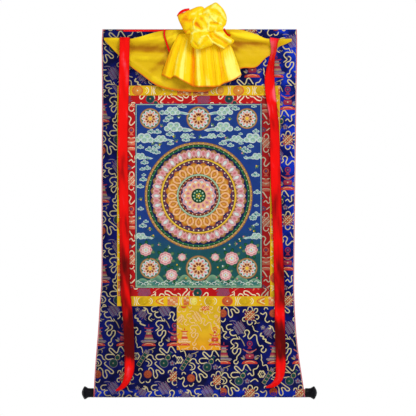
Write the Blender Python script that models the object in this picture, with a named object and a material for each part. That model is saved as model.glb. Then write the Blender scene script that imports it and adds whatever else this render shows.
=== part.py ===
"""Thangka scroll painting, hanging: a brocade cloth on a roller, with a framed canvas, a yellow silk
veil drawn up to a rosette, and two red ribbons.

Metres, +Z up. The scroll faces -Y. The origin is the middle of the cloth's top edge.
A place on the scroll is given by x, by its drop below the top edge, and by how far forward it
stands of the hanging plane, towards the front.
"""
import math
from bisect import bisect_right
from collections import namedtuple

import bmesh
import bpy
from mathutils import Vector

# ---- driving dimensions ------------------------------------------------------------------------
FIT_GAP = 0.0003            # between two pieces that touch
PANEL_THICKNESS = 0.0020    # brocade with its interlining
PATCH_THICKNESS = 0.0012    # canvas, border strips, door and tape
SILK_THICKNESS = 0.0010     # veil, skirt and ribbons

SLEEVE_SEAM = 1.150         # drop at which the hem is sewn
ROLLER_DROP = 1.1850        # drop of the roller's axis
SLEEVE_RADIUS = 0.0140      # middle of the cloth round the roller
ROD_RADIUS = 0.0120
SEAM_BEND = 0.0090          # length of the cloth's bend on either side of the seam
HEM_TURN_UP = 0.0140        # hem above the seam, at the back
HEM_EASE_DROP = 0.0100      # how far below the seam the back of the hem closes up
HEM_EASE_BACK = 0.0015      # and how far it still stands off there
PIPING_RADIUS = 0.0015

CANVAS_WIDTH = 0.413
CANVAS_HEIGHT = 0.601
CANVAS_TOP = 0.2425         # drop of the canvas's upper edge
FRAME_X = -0.0046           # middle of canvas, borders and door
RED_WIDTH = 0.0262          # inner border
YELLOW_WIDTH = 0.0320       # outer border
DOOR_WIDTH = 0.142
DOOR_HEIGHT = 0.143

TAPE_LEFT = -0.2495
TAPE_RIGHT = 0.1454
TAPE_TOP = 0.0010
TAPE_WIDTH = 0.0065

RIBBON_WIDTH = 0.0335
STRAP_WIDTH = 0.0060

WAVE_HEIGHT = 0.0022        # soft upright waves of the ground cloth
WAVE_LENGTH = 0.290
WAVE_X = 0.040              # where a wave starts to rise
WAVE_TOP = 0.300            # drop at which the waves set in
WAVE_FOOT = 1.120           # drop at which they end
EDGE_CURL = 0.0020          # side edges stand this far forward halfway down
EDGE_CURL_X = 0.320         # at this distance from the middle
EDGE_CURL_POWER = 6         # a high power keeps the curl close to the edge

# ---- steps of the meshes -------------------------------------------------------------------------
Grid = namedtuple("Grid", "columns rows")
PANEL_COLUMNS = 20
PANEL_FLAT_ROWS = 29        # from the top edge to the bend over the seam
PANEL_BEND_ROWS = 3
PANEL_ARC_ROWS = 13
CANVAS_GRID = Grid(14, 20)
LEVEL_STRIP_GRID = Grid(18, 1)
UPRIGHT_STRIP_GRID = Grid(1, 20)
DOOR_GRID = Grid(6, 6)
TAPE_GRID = Grid(8, 1)
VEIL_GRID = Grid(46, 11)
SKIRT_GRID = Grid(45, 7)
RIBBON_COLUMNS = 2
TURNED_SIDES = 28
LOOP_RINGS = 11
LOOP_SIDES = 20
SHARP_ANGLE = 40            # degrees, between faces that meet in an edge
MERGE_DISTANCE = 1e-6

# ---- tables --------------------------------------------------------------------------------------

# Outline of the ground cloth: narrow at the waist, wider at the roller.
EdgeRow = namedtuple("EdgeRow", "drop left right")
PANEL_EDGES = [
    EdgeRow(0.000, -0.3150, 0.3125),
    EdgeRow(0.050, -0.3170, 0.3135),
    EdgeRow(0.200, -0.3160, 0.3115),
    EdgeRow(0.500, -0.3175, 0.3075),
    EdgeRow(0.820, -0.3185, 0.3040),
    EdgeRow(0.890, -0.3235, 0.3050),
    EdgeRow(0.980, -0.3290, 0.3100),
    EdgeRow(1.060, -0.3355, 0.3185),
    EdgeRow(1.130, -0.3405, 0.3290),
    EdgeRow(1.200, -0.3435, 0.3395),
]

# The veil from its left corner to its right one: upper edge, lower hem and how far it stands off.
VeilRow = namedtuple("VeilRow", "x top hem stand")
VEIL = [
    VeilRow(-0.3126, 0.0280, 0.0345, 0.0060),
    VeilRow(-0.2700, 0.0283, 0.0800, 0.0080),
    VeilRow(-0.2282, 0.0320, 0.1197, 0.0110),
    VeilRow(-0.1933, 0.0245, 0.1460, 0.0130),
    VeilRow(-0.1438, 0.0100, 0.1822, 0.0150),
    VeilRow(-0.0962, 0.0030, 0.1972, 0.0160),
    VeilRow(-0.0326, 0.0010, 0.2035, 0.0130),
    VeilRow(0.0287, 0.0010, 0.2010, 0.0130),
    VeilRow(0.0815, 0.0010, 0.1700, 0.0140),
    VeilRow(0.1304, 0.0020, 0.1300, 0.0160),
    VeilRow(0.1826, 0.0170, 0.1240, 0.0140),
    VeilRow(0.2119, 0.0300, 0.0960, 0.0120),
    VeilRow(0.2282, 0.0316, 0.0838, 0.0110),
    VeilRow(0.2543, 0.0310, 0.0590, 0.0090),
    VeilRow(0.2771, 0.0310, 0.0495, 0.0080),
    VeilRow(0.2990, 0.0312, 0.0390, 0.0060),
]

# Creases of the veil, each a soft ridge (height above nought) or trough between two places.
CreaseRow = namedtuple("CreaseRow", "x0 drop0 x1 drop1 width height")
VEIL_CREASES = [
    CreaseRow(-0.290, 0.036, -0.080, 0.032, 0.014, 0.0060),
    CreaseRow(-0.250, 0.060, -0.095, 0.072, 0.011, -0.0060),
    CreaseRow(-0.240, 0.088, -0.105, 0.098, 0.013, 0.0050),
    CreaseRow(-0.112, 0.090, -0.170, 0.150, 0.011, -0.0045),
    CreaseRow(-0.270, 0.072, -0.110, 0.188, 0.007, 0.0030),
    CreaseRow(0.105, 0.016, 0.235, 0.042, 0.013, 0.0065),
    CreaseRow(0.105, 0.042, 0.240, 0.056, 0.009, -0.0050),
    CreaseRow(0.120, 0.095, 0.205, 0.088, 0.018, 0.0040),
    CreaseRow(0.250, 0.040, 0.298, 0.035, 0.008, 0.0020),
]

# Pleats of the skirt from left to right: where each line leaves the knot, where it meets the hem,
# and how far it stands forward there (a fold) or back (a groove).
PleatRow = namedtuple("PleatRow", "across top_x hem_x hem_drop fold")
SKIRT_PLEATS = [
    PleatRow(0.00, -0.0640, -0.1249, 0.1496, -0.0070),
    PleatRow(0.06, -0.0575, -0.1108, 0.1562, 0.0040),
    PleatRow(0.12, -0.0510, -0.0962, 0.1620, -0.0050),
    PleatRow(0.18, -0.0455, -0.0831, 0.1545, 0.0080),
    PleatRow(0.27, -0.0350, -0.0619, 0.1660, 0.0110),
    PleatRow(0.36, -0.0228, -0.0375, 0.1790, 0.0070),
    PleatRow(0.42, -0.0179, -0.0218, 0.1868, -0.0095),
    PleatRow(0.48, -0.0098, -0.0065, 0.1894, 0.0085),
    PleatRow(0.54, 0.0000, 0.0098, 0.1891, -0.0015),
    PleatRow(0.61, 0.0130, 0.0277, 0.1891, 0.0080),
    PleatRow(0.68, 0.0261, 0.0456, 0.1888, -0.0040),
    PleatRow(0.75, 0.0391, 0.0619, 0.1870, 0.0060),
    PleatRow(0.81, 0.0489, 0.0766, 0.1783, -0.0060),
    PleatRow(0.88, 0.0587, 0.0962, 0.1718, 0.0050),
    PleatRow(0.94, 0.0685, 0.1141, 0.1640, -0.0020),
    PleatRow(1.00, 0.0766, 0.1350, 0.1500, -0.0050),
]
SKIRT_TOP = 0.0150          # drop at which the pleats leave the knot
SKIRT_FLARE = 0.70          # power below 1: the pleats spread most near the knot
SKIRT_DEEPEN = 0.70         # power below 1: the folds deepen most near the knot
SKIRT_STAND_TOP = 0.0240
SKIRT_STAND_HEM = 0.0340
SKIRT_SIDE_SWEEP = 0.0080   # sides of the skirt fall back towards the veil
SKIRT_SIDE_POWER = 4        # a high power keeps that close to the sides

# Puffed loops of the rosette, each a pleated fan from its root at the knot to its broad outer fold.
# rise is how much further forward the outer fold stands than the root.
LoopRow = namedtuple("LoopRow", "root_x root_drop tip_x tip_drop stand rise width depth pleats turn")
ROSETTE_LOOPS = [
    LoopRow(0.0300, -0.0020, -0.0590, -0.0510, 0.0500, -0.001, 0.074, 0.042, 2.6, 0.4),
    LoopRow(0.0260, 0.0040, -0.0690, -0.0130, 0.0460, 0.000, 0.050, 0.034, 2.2, 2.2),
    LoopRow(0.0220, -0.0060, 0.0010, -0.0740, 0.0480, -0.002, 0.062, 0.036, 2.2, 0.1),
    LoopRow(0.0160, -0.0040, 0.0560, -0.0835, 0.0520, -0.002, 0.064, 0.040, 2.4, 1.3),
    LoopRow(0.0160, -0.0080, 0.0860, -0.0400, 0.0480, 0.000, 0.064, 0.038, 2.4, 2.9),
    LoopRow(0.0120, -0.0020, 0.0800, -0.0060, 0.0500, -0.002, 0.044, 0.032, 1.8, 0.9),
    LoopRow(0.0120, 0.0100, 0.1100, 0.0410, 0.0450, -0.008, 0.042, 0.026, 1.8, 0.6),
    LoopRow(0.0140, -0.0050, 0.0020, 0.0630, 0.0540, -0.004, 0.076, 0.040, 2.6, 1.9),
    LoopRow(0.0560, -0.0280, -0.0340, 0.0160, 0.0630, 0.000, 0.036, 0.034, 1.6, 2.7),
]
LOOP_NECK = 0.40            # a loop's width at the root, as a share of its full width
LOOP_ROOT_DEPTH = 0.45      # its depth there, as a share of its full depth
LOOP_ROOT_END = 0.06        # share of its length over which the root rounds over
LOOP_SHOULDER = 0.55        # where the outer fold starts to round over, as the same share
LOOP_DEEP_TO = 0.90         # where its depth stops falling, as the same share
LOOP_CROWDING = 1.1         # power above 1: the rings lie closer near the outer fold
PLEAT_DEPTH = 0.13          # share of a loop's half depth
SCALLOP = 0.04              # waves of the outer fold, as a share of a loop's length
LOOP_ROUND = 0.10           # how far the outer fold's corners draw in, as the same share

# A ribbon's middle line, and how far it is turned about that line from face on.
RibbonRow = namedtuple("RibbonRow", "drop x stand turn")
RIBBON_LEFT = [
    RibbonRow(0.0270, -0.2448, 0.0165, 0),
    RibbonRow(0.0420, -0.2450, 0.0235, 4),
    RibbonRow(0.1000, -0.2462, 0.0230, -6),
    RibbonRow(0.1350, -0.2470, 0.0170, -2),
    RibbonRow(0.1900, -0.2480, 0.0110, 4),
    RibbonRow(0.3900, -0.2515, 0.0100, 12),
    RibbonRow(0.6050, -0.2471, 0.0100, 14),
    RibbonRow(0.8500, -0.2427, 0.0095, 10),
    RibbonRow(0.9575, -0.2335, 0.0100, 4),
    RibbonRow(1.0390, -0.2305, 0.0110, 8),
    RibbonRow(1.0950, -0.2295, 0.0150, 12),
    RibbonRow(1.1200, -0.2312, 0.0220, 28),
    RibbonRow(1.1380, -0.2362, 0.0300, 44),
    RibbonRow(1.1560, -0.2458, 0.0355, 56),
    RibbonRow(1.1670, -0.2570, 0.0380, 68),
    RibbonRow(1.1765, -0.2735, 0.0390, 84),
]
RIBBON_RIGHT = [
    RibbonRow(0.0300, 0.2443, 0.0190, 4),
    RibbonRow(0.0420, 0.2418, 0.0300, 40),
    RibbonRow(0.0740, 0.2396, 0.0320, 58),
    RibbonRow(0.0960, 0.2350, 0.0290, 57),
    RibbonRow(0.1330, 0.2290, 0.0190, 40),
    RibbonRow(0.1650, 0.2270, 0.0140, 16),
    RibbonRow(0.2050, 0.2290, 0.0120, 4),
    RibbonRow(0.2800, 0.2390, 0.0145, 30),
    RibbonRow(0.3250, 0.2430, 0.0145, 28),
    RibbonRow(0.4590, 0.2453, 0.0100, 6),
    RibbonRow(0.6540, 0.2527, 0.0145, 24),
    RibbonRow(0.8500, 0.2584, 0.0110, 4),
    RibbonRow(0.9800, 0.2608, 0.0100, 6),
    RibbonRow(1.0800, 0.2628, 0.0130, 8),
    RibbonRow(1.1150, 0.2618, 0.0220, 26),
    RibbonRow(1.1350, 0.2575, 0.0300, 42),
    RibbonRow(1.1500, 0.2480, 0.0350, 54),
    RibbonRow(1.1600, 0.2340, 0.0380, 68),
    RibbonRow(1.1655, 0.2140, 0.0390, 84),
]

# Narrow red pieces: middle line, stand and turn as for a ribbon.
STRAP = [
    RibbonRow(0.0010, -0.1150, 0.0180, 0),
    RibbonRow(0.0200, -0.1160, 0.0240, 6),
    RibbonRow(0.0450, -0.1090, 0.0235, 6),
    RibbonRow(0.0720, -0.1000, 0.0190, 0),
    RibbonRow(0.0840, -0.0965, 0.0180, 0),
]
TIE_END = [
    RibbonRow(-0.0010, 0.0780, 0.0270, 0),
    RibbonRow(0.0110, 0.0835, 0.0275, 10),
    RibbonRow(0.0190, 0.0900, 0.0280, 20),
    RibbonRow(0.0215, 0.0990, 0.0280, 20),
]
TIE_LOOP = [
    RibbonRow(-0.0640, -0.0340, 0.0370, 60),
    RibbonRow(-0.0615, -0.0510, 0.0390, 60),
    RibbonRow(-0.0520, -0.0665, 0.0400, 60),
    RibbonRow(-0.0400, -0.0735, 0.0400, 60),
]
RIBBON_RUN = 0.0020         # half the stretch from which a ribbon's direction is read

RibbonPiece = namedtuple("RibbonPiece", "name rows width steps_a_row")
RIBBON_PIECES = [
    RibbonPiece("ribbon_left", RIBBON_LEFT, RIBBON_WIDTH, 4),
    RibbonPiece("ribbon_right", RIBBON_RIGHT, RIBBON_WIDTH, 3),
    RibbonPiece("strap", STRAP, STRAP_WIDTH, 2),
    RibbonPiece("tie_end", TIE_END, STRAP_WIDTH, 3),
    RibbonPiece("tie_loop", TIE_LOOP, STRAP_WIDTH, 3),
]

# Turned outline of a knob: distance out from its inner face, and radius.
TurnedRow = namedtuple("TurnedRow", "out radius")
KNOB = [
    TurnedRow(0.0000, 0.0000),
    TurnedRow(0.0000, 0.0152),
    TurnedRow(0.0100, 0.0148),
    TurnedRow(0.0180, 0.0156),
    TurnedRow(0.0230, 0.0190),
    TurnedRow(0.0272, 0.0213),
    TurnedRow(0.0290, 0.0214),
    TurnedRow(0.0315, 0.0192),
    TurnedRow(0.0340, 0.0145),
    TurnedRow(0.0370, 0.0085),
    TurnedRow(0.0388, 0.0000),
]


# ---- curves through a table ----------------------------------------------------------------------
def along(rows, key, want, at):
    """Column `want` where column `key` is `at`, on a smooth curve through the table's rows."""
    keys = [getattr(row, key) for row in rows]
    values = [getattr(row, want) for row in rows]
    last = len(rows) - 1
    at = min(max(at, keys[0]), keys[last])
    i = min(max(bisect_right(keys, at) - 1, 0), last - 1)

    def slope(k):
        low, high = max(k - 1, 0), min(k + 1, last)
        return (values[high] - values[low]) / (keys[high] - keys[low])

    span = keys[i + 1] - keys[i]
    t = (at - keys[i]) / span
    rise = t * t * (3 - 2 * t)
    return (values[i] * (1 - rise) + values[i + 1] * rise
            + span * slope(i) * t * (1 - t) ** 2 - span * slope(i + 1) * t * t * (1 - t))


Area = namedtuple("Area", "left right top bottom")


def mix(a, b, t):
    return a + (b - a) * t


def place(x, forward, drop):
    """World point of a place on the scroll."""
    return Vector((x, -forward, -drop))


# ---- shapes of the cloths ------------------------------------------------------------------------
def ground(x, drop):
    """How far the ground cloth's middle stands forward: soft waves that die out at both ends."""
    down = min(max((drop - WAVE_TOP) / (WAVE_FOOT - WAVE_TOP), 0.0), 1.0)
    swell = math.sin(math.pi * down) ** 2
    wave = WAVE_HEIGHT * math.sin(2 * math.pi * (x - WAVE_X) / WAVE_LENGTH) * swell
    half = math.sin(math.pi * min(drop / SLEEVE_SEAM, 1.0)) ** 2
    curl = EDGE_CURL * half * (abs(x) / EDGE_CURL_X) ** EDGE_CURL_POWER
    return wave + curl


def sleeve_path():
    """Middle line of the ground cloth in section: straight down, round the roller, up the back.

    Each point is its distance forward and its drop. The bend over the seam is a quadratic curve.
    """
    flat_end = SLEEVE_SEAM - SEAM_BEND
    path = [(0.0, flat_end * i / PANEL_FLAT_ROWS) for i in range(PANEL_FLAT_ROWS)]
    lean = math.asin(SLEEVE_RADIUS / (ROLLER_DROP - SLEEVE_SEAM))
    bend_end = (SEAM_BEND * math.sin(lean), SLEEVE_SEAM + SEAM_BEND * math.cos(lean))
    for i in range(PANEL_BEND_ROWS + 1):
        t = i / PANEL_BEND_ROWS
        path.append((bend_end[0] * t * t,
                     flat_end * (1 - t) ** 2 + 2 * SLEEVE_SEAM * t * (1 - t) + bend_end[1] * t * t))
    for i in range(PANEL_ARC_ROWS + 1):
        turn = mix(-lean, math.pi + lean, i / PANEL_ARC_ROWS)
        path.append((SLEEVE_RADIUS * math.cos(turn), ROLLER_DROP + SLEEVE_RADIUS * math.sin(turn)))
    behind = PANEL_THICKNESS + 2 * FIT_GAP
    path.append((-behind - HEM_EASE_BACK, SLEEVE_SEAM + HEM_EASE_DROP))
    path.append((-behind, SLEEVE_SEAM))
    path.append((-behind, SLEEVE_SEAM - HEM_TURN_UP))
    return path


def panel_place(u, forward, drop):
    x = mix(along(PANEL_EDGES, "drop", "left", drop), along(PANEL_EDGES, "drop", "right", drop), u)
    return place(x, ground(x, drop) + forward, drop)


def crease_relief(x, drop):
    """Forward relief of the veil at a place: each crease is a soft ridge along its line."""
    total = 0.0
    for row in VEIL_CREASES:
        run = Vector((row.x1 - row.x0, row.drop1 - row.drop0))
        away = Vector((x - row.x0, drop - row.drop0))
        t = min(max(away.dot(run) / run.length_squared, 0.0), 1.0)
        distance = (away - run * t).length
        total += row.height * math.exp(-(distance / row.width) ** 2)
    return total


def veil_forward(x, drop):
    return along(VEIL, "x", "stand", x) + crease_relief(x, drop)


def veil_place(u, v):
    x = mix(VEIL[0].x, VEIL[-1].x, u)
    drop = mix(along(VEIL, "x", "top", x), along(VEIL, "x", "hem", x), v)
    return place(x, veil_forward(x, drop), drop)


def skirt_place(u, v):
    top_x = along(SKIRT_PLEATS, "across", "top_x", u)
    hem_x = along(SKIRT_PLEATS, "across", "hem_x", u)
    hem_drop = along(SKIRT_PLEATS, "across", "hem_drop", u)
    fold = along(SKIRT_PLEATS, "across", "fold", u)
    stand = mix(SKIRT_STAND_TOP, SKIRT_STAND_HEM, math.sin(v * math.pi / 2))
    side = (2 * u - 1) ** SKIRT_SIDE_POWER * SKIRT_SIDE_SWEEP * v
    return place(mix(top_x, hem_x, v ** SKIRT_FLARE), stand - side + fold * v ** SKIRT_DEEPEN,
                 mix(SKIRT_TOP, hem_drop, v))


def ribbon_place(rows, width, u, v):
    """Point of a ribbon: v down its rows in even shares, u across it, turned about its line."""
    def middle(drop):
        return place(along(rows, "drop", "x", drop), along(rows, "drop", "stand", drop), drop)

    shares = v * (len(rows) - 1)
    row = min(int(shares), len(rows) - 2)
    drop = mix(rows[row].drop, rows[row + 1].drop, shares - row)
    run = middle(min(drop + RIBBON_RUN, rows[-1].drop)) - middle(max(drop - RIBBON_RUN, rows[0].drop))
    run.normalize()
    turn = math.radians(along(rows, "drop", "turn", drop))
    level = Vector((0, 1, 0)).cross(run).normalized()
    outward = run.cross(level)
    across = level * math.cos(turn) + outward * math.sin(turn)
    return middle(drop) + across * (0.5 - u) * width


# ---- making solids -------------------------------------------------------------------------------
def material(name, colour, roughness, metallic=0.0):
    mat = bpy.data.materials.new(name)
    mat.use_nodes = True
    shader = mat.node_tree.nodes["Principled BSDF"]
    shader.inputs["Base Color"].default_value = (*colour, 1.0)
    shader.inputs["Roughness"].default_value = roughness
    shader.inputs["Metallic"].default_value = metallic
    return mat


def add_object(name, bm, mat):
    mesh = bpy.data.meshes.new(name)
    bm.to_mesh(mesh)
    bm.free()
    mesh.materials.append(mat)
    obj = bpy.data.objects.new(name, mesh)
    bpy.context.collection.objects.link(obj)
    return obj


def sheet(name, grid, shape, thickness, mat):
    """A cloth from a grid: shape(u, v) gives the middle of the sheet, which gets its thickness."""
    bm = bmesh.new()
    bmesh.ops.create_grid(bm, x_segments=grid.columns, y_segments=grid.rows, size=0.5)
    for vert in bm.verts:
        vert.co = shape(vert.co.x + 0.5, 0.5 - vert.co.y)
    obj = add_object(name, bm, mat)
    solid = obj.modifiers.new("thickness", "SOLIDIFY")
    solid.thickness = thickness
    solid.offset = 0.0
    solid.use_even_offset = True
    obj.data.shade_smooth()
    return obj


def patch(name, area, grid, mat):
    """A flat piece sewn on the ground cloth, which follows its waves."""
    stand = PANEL_THICKNESS / 2 + FIT_GAP + PATCH_THICKNESS / 2

    def shape(u, v):
        x, drop = mix(area.left, area.right, u), mix(area.top, area.bottom, v)
        return place(x, ground(x, drop) + stand, drop)

    return sheet(name, grid, shape, PATCH_THICKNESS, mat)


def panel(mat):
    path = sleeve_path()
    steps = len(path) - 1

    def shape(u, v):
        forward, drop = path[round(v * steps)]
        return panel_place(u, forward, drop)

    return sheet("blue_panel", Grid(PANEL_COLUMNS, steps), shape, PANEL_THICKNESS, mat)


def piping(name, u, side, mat):
    """Round piping beside the cloth's edge, down to the roller and round it."""
    curve = bpy.data.curves.new(name, "CURVE")
    curve.dimensions = "3D"
    curve.bevel_depth = PIPING_RADIUS
    curve.bevel_resolution = 1
    curve.use_fill_caps = True
    spline = curve.splines.new("POLY")
    points = sleeve_path()[:-3]         # as far as the arc's end, so without the hem at the back
    spline.points.add(len(points) - 1)
    for target, (forward, drop) in zip(spline.points, points):
        at = panel_place(u, forward, drop) + Vector((side * (FIT_GAP + PIPING_RADIUS), 0, 0))
        target.co = (*at, 1.0)
    curve.materials.append(mat)
    obj = bpy.data.objects.new(name, curve)
    bpy.context.collection.objects.link(obj)
    return obj


def frame_strips(prefix, width, inner, mat):
    """Four border strips round an area: top and bottom run the full width. Gives the new area."""
    left, right = inner.left - FIT_GAP, inner.right + FIT_GAP
    top, bottom = inner.top - FIT_GAP, inner.bottom + FIT_GAP
    outer = Area(left - width, right + width, top - width, bottom + width)
    patch(prefix + "_top", Area(outer.left, outer.right, outer.top, top), LEVEL_STRIP_GRID, mat)
    patch(prefix + "_bottom", Area(outer.left, outer.right, bottom, outer.bottom),
          LEVEL_STRIP_GRID, mat)
    patch(prefix + "_left", Area(outer.left, left, inner.top, inner.bottom), UPRIGHT_STRIP_GRID, mat)
    patch(prefix + "_right", Area(right, outer.right, inner.top, inner.bottom),
          UPRIGHT_STRIP_GRID, mat)
    return outer


def turned(name, rows, start_x, side, mat):
    """A solid turned about the roller's axis from its outline."""
    bm = bmesh.new()
    axis_point = place(start_x, 0, ROLLER_DROP)
    chain = [bm.verts.new(axis_point + Vector((side * row.out, 0, row.radius))) for row in rows]
    edges = [bm.edges.new(pair) for pair in zip(chain, chain[1:])]
    bmesh.ops.spin(bm, geom=chain + edges, cent=axis_point, axis=(1, 0, 0),
                   angle=2 * math.pi, steps=TURNED_SIDES, use_merge=True)
    bmesh.ops.remove_doubles(bm, verts=bm.verts, dist=MERGE_DISTANCE)
    bmesh.ops.recalc_face_normals(bm, faces=bm.faces)
    obj = add_object(name, bm, mat)
    obj.data.shade_smooth()
    obj.data.set_sharp_from_angle(angle=math.radians(SHARP_ANGLE))
    return obj


def loop_point(row, t, angle):
    """Surface of one puffed loop: t from root to outer fold, angle round its section."""
    root = place(row.root_x, row.stand, row.root_drop)
    tip = place(row.tip_x, row.stand + row.rise, row.tip_drop)
    run = tip - root
    wide = Vector((0, 1, 0)).cross(run).normalized()
    front = run.cross(wide).normalized()
    side, face = math.cos(angle), math.sin(angle)
    opening = LOOP_NECK + (1 - LOOP_NECK) * math.sin(math.pi / 2 * min(t / LOOP_SHOULDER, 1.0))
    over = max(t - LOOP_SHOULDER, 0.0) / (1 - LOOP_SHOULDER)
    closing = math.sqrt(max(1 - over ** 2, 0.0)) * math.sqrt(min(t / LOOP_ROOT_END, 1.0))
    pleat = math.cos(row.pleats * math.pi * side + row.turn)
    off_line = side * closing
    reach = t * (1 + SCALLOP * math.cos(row.pleats * math.pi * off_line + row.turn) * t
                 - LOOP_ROUND * off_line ** 2 * t)
    swell = math.sin(math.pi * min(t, LOOP_DEEP_TO))
    deep = mix(LOOP_ROOT_DEPTH, 1.0, swell) * (1 + PLEAT_DEPTH * pleat)
    return (root + run * reach
            + wide * side * row.width / 2 * opening * closing
            + front * face * row.depth / 2 * deep * closing)


def loop_solid(name, row, mat):
    bm = bmesh.new()
    rings = []
    for i in range(1, LOOP_RINGS):
        t = math.sin(math.pi / 2 * i / LOOP_RINGS) ** LOOP_CROWDING
        rings.append([bm.verts.new(loop_point(row, t, 2 * math.pi * k / LOOP_SIDES))
                      for k in range(LOOP_SIDES)])
    ends = [bm.verts.new(loop_point(row, t, math.pi / 2)) for t in (0, 1)]
    for near, far in zip(rings, rings[1:]):
        for k in range(LOOP_SIDES):
            j = (k + 1) % LOOP_SIDES
            bm.faces.new((near[k], near[j], far[j], far[k]))
    for end, ring in zip(ends, (rings[0], rings[-1])):
        for k in range(LOOP_SIDES):
            bm.faces.new((end, ring[k], ring[(k + 1) % LOOP_SIDES]))
    bmesh.ops.recalc_face_normals(bm, faces=bm.faces)
    obj = add_object(name, bm, mat)
    obj.data.shade_smooth()
    return obj


def rosette(mat):
    """The knot's loops joined into one solid."""
    base = loop_solid("rosette", ROSETTE_LOOPS[0], mat)
    for number, row in enumerate(ROSETTE_LOOPS[1:], start=1):
        other = loop_solid(f"rosette_loop_{number}", row, mat)
        other.hide_render = True
        other.display_type = "WIRE"
        union = base.modifiers.new(f"loop_{number}", "BOOLEAN")
        union.operation = "UNION"
        union.solver = "EXACT"
        union.object = other
    return base


def main():
    for obj in list(bpy.data.objects):
        bpy.data.objects.remove(obj, do_unlink=True)

    blue = material("blue_brocade", (0.010, 0.020, 0.250), 0.55)
    red_brocade = material("red_brocade", (0.450, 0.010, 0.015), 0.55)
    yellow_brocade = material("yellow_brocade", (0.720, 0.420, 0.010), 0.50)
    gold_brocade = material("gold_brocade", (0.650, 0.370, 0.015), 0.45)
    canvas = material("canvas", (0.060, 0.130, 0.220), 0.80)
    silk = material("yellow_silk", (1.000, 0.620, 0.010), 0.35)
    red_silk = material("red_silk", (0.800, 0.010, 0.005), 0.45)
    edging = material("piping_red", (0.650, 0.120, 0.150), 0.60)
    wood = material("plain_wood", (0.450, 0.280, 0.140), 0.60)
    black = material("black_lacquer", (0.008, 0.008, 0.010), 0.35)

    panel(blue)
    piping("piping_left", 0.0, -1, edging)
    piping("piping_right", 1.0, 1, edging)

    canvas_area = Area(FRAME_X - CANVAS_WIDTH / 2, FRAME_X + CANVAS_WIDTH / 2,
                       CANVAS_TOP, CANVAS_TOP + CANVAS_HEIGHT)
    patch("painting", canvas_area, CANVAS_GRID, canvas)
    red_area = frame_strips("red", RED_WIDTH, canvas_area, red_brocade)
    yellow_area = frame_strips("yellow", YELLOW_WIDTH, red_area, yellow_brocade)
    door_top = yellow_area.bottom + FIT_GAP
    patch("door", Area(FRAME_X - DOOR_WIDTH / 2, FRAME_X + DOOR_WIDTH / 2,
                       door_top, door_top + DOOR_HEIGHT), DOOR_GRID, gold_brocade)
    patch("top_tape", Area(TAPE_LEFT, TAPE_RIGHT, TAPE_TOP, TAPE_TOP + TAPE_WIDTH),
          TAPE_GRID, red_silk)

    sheet("veil", VEIL_GRID, veil_place, SILK_THICKNESS, silk)
    sheet("skirt", SKIRT_GRID, skirt_place, SILK_THICKNESS, silk)
    rosette(silk)
    for piece in RIBBON_PIECES:
        grid = Grid(RIBBON_COLUMNS, piece.steps_a_row * (len(piece.rows) - 1))
        sheet(piece.name, grid, lambda u, v: ribbon_place(piece.rows, piece.width, u, v),
              SILK_THICKNESS, red_silk)

    lowest = ROLLER_DROP + SLEEVE_RADIUS
    sleeve_left = along(PANEL_EDGES, "drop", "left", lowest)
    sleeve_right = along(PANEL_EDGES, "drop", "right", lowest)
    past_piping = 2 * PIPING_RADIUS + 2 * FIT_GAP
    knob_left, knob_right = sleeve_left - past_piping, sleeve_right + past_piping
    rod_length = knob_right - knob_left - 2 * FIT_GAP
    rod = [TurnedRow(0, 0), TurnedRow(0, ROD_RADIUS),
           TurnedRow(rod_length, ROD_RADIUS), TurnedRow(rod_length, 0)]
    turned("roller", rod, knob_left + FIT_GAP, 1, wood)
    turned("knob_left", KNOB, knob_left, -1, black)
    turned("knob_right", KNOB, knob_right, 1, black)


main()
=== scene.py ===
"""Looks of a hanging scroll: brocade, painted canvas, silk veil and bow, ribbons, roller and knobs.

Metres, +Z up. The scroll faces -Y. A place on it is given by x, by its drop below the top edge, and
by how far forward it stands of the hanging plane, as in the model that it dresses.
"""
import math
from bisect import bisect_right
from collections import namedtuple

import bmesh
import bpy
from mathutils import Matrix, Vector, noise


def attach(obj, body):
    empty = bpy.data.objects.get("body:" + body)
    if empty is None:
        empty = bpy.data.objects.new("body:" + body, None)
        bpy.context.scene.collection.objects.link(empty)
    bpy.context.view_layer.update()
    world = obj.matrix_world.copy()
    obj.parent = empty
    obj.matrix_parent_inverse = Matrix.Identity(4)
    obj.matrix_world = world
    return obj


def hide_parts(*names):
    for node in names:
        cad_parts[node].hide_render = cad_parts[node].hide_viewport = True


bl_info = {
    "name": "Hanging scroll",
    "version": (1, 0, 0),
    "blender": (4, 5, 0),
    "location": "3D View > Sidebar > Scroll",
    "description": "Dresses a hanging brocade scroll with its cloths, woven figures, bow and ribbons",
    "category": "Add Mesh",
}

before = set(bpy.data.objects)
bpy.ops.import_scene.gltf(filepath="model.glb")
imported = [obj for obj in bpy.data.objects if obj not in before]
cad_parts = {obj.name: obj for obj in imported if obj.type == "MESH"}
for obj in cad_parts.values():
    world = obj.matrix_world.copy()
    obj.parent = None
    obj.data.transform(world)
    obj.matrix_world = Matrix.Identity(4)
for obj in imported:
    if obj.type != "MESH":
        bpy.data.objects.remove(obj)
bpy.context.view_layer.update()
MM = 0.001


def table(columns, *rows):
    """Rows with named columns.

    Those before a bar, or all where there is none, are written in millimetres and kept in metres.
    """
    lengths, bar, _ = columns.rpartition("|")
    count = len(lengths.split()) if bar else len(columns.split())
    row = namedtuple("Row", columns.replace("|", " ").split())
    return [row(*(value * MM for value in values[:count]), *values[count:]) for values in rows]


# ---- sizes of the model ----
FIT_GAP = 0.0003
PANEL_THICKNESS = 0.0020
PATCH_THICKNESS = 0.0012
SILK_THICKNESS = 0.0006  # thinner than the model's sheets, on the same middle surface

SLEEVE_SEAM = 1.150
ROLLER_DROP = 1.1850
SLEEVE_RADIUS = 0.0140
SEAM_BEND = 0.0090
HEM_TURN_UP = 0.0140
HEM_EASE_DROP = 0.0100
HEM_EASE_BACK = 0.0015
PIPING_RADIUS = 0.0015

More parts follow.
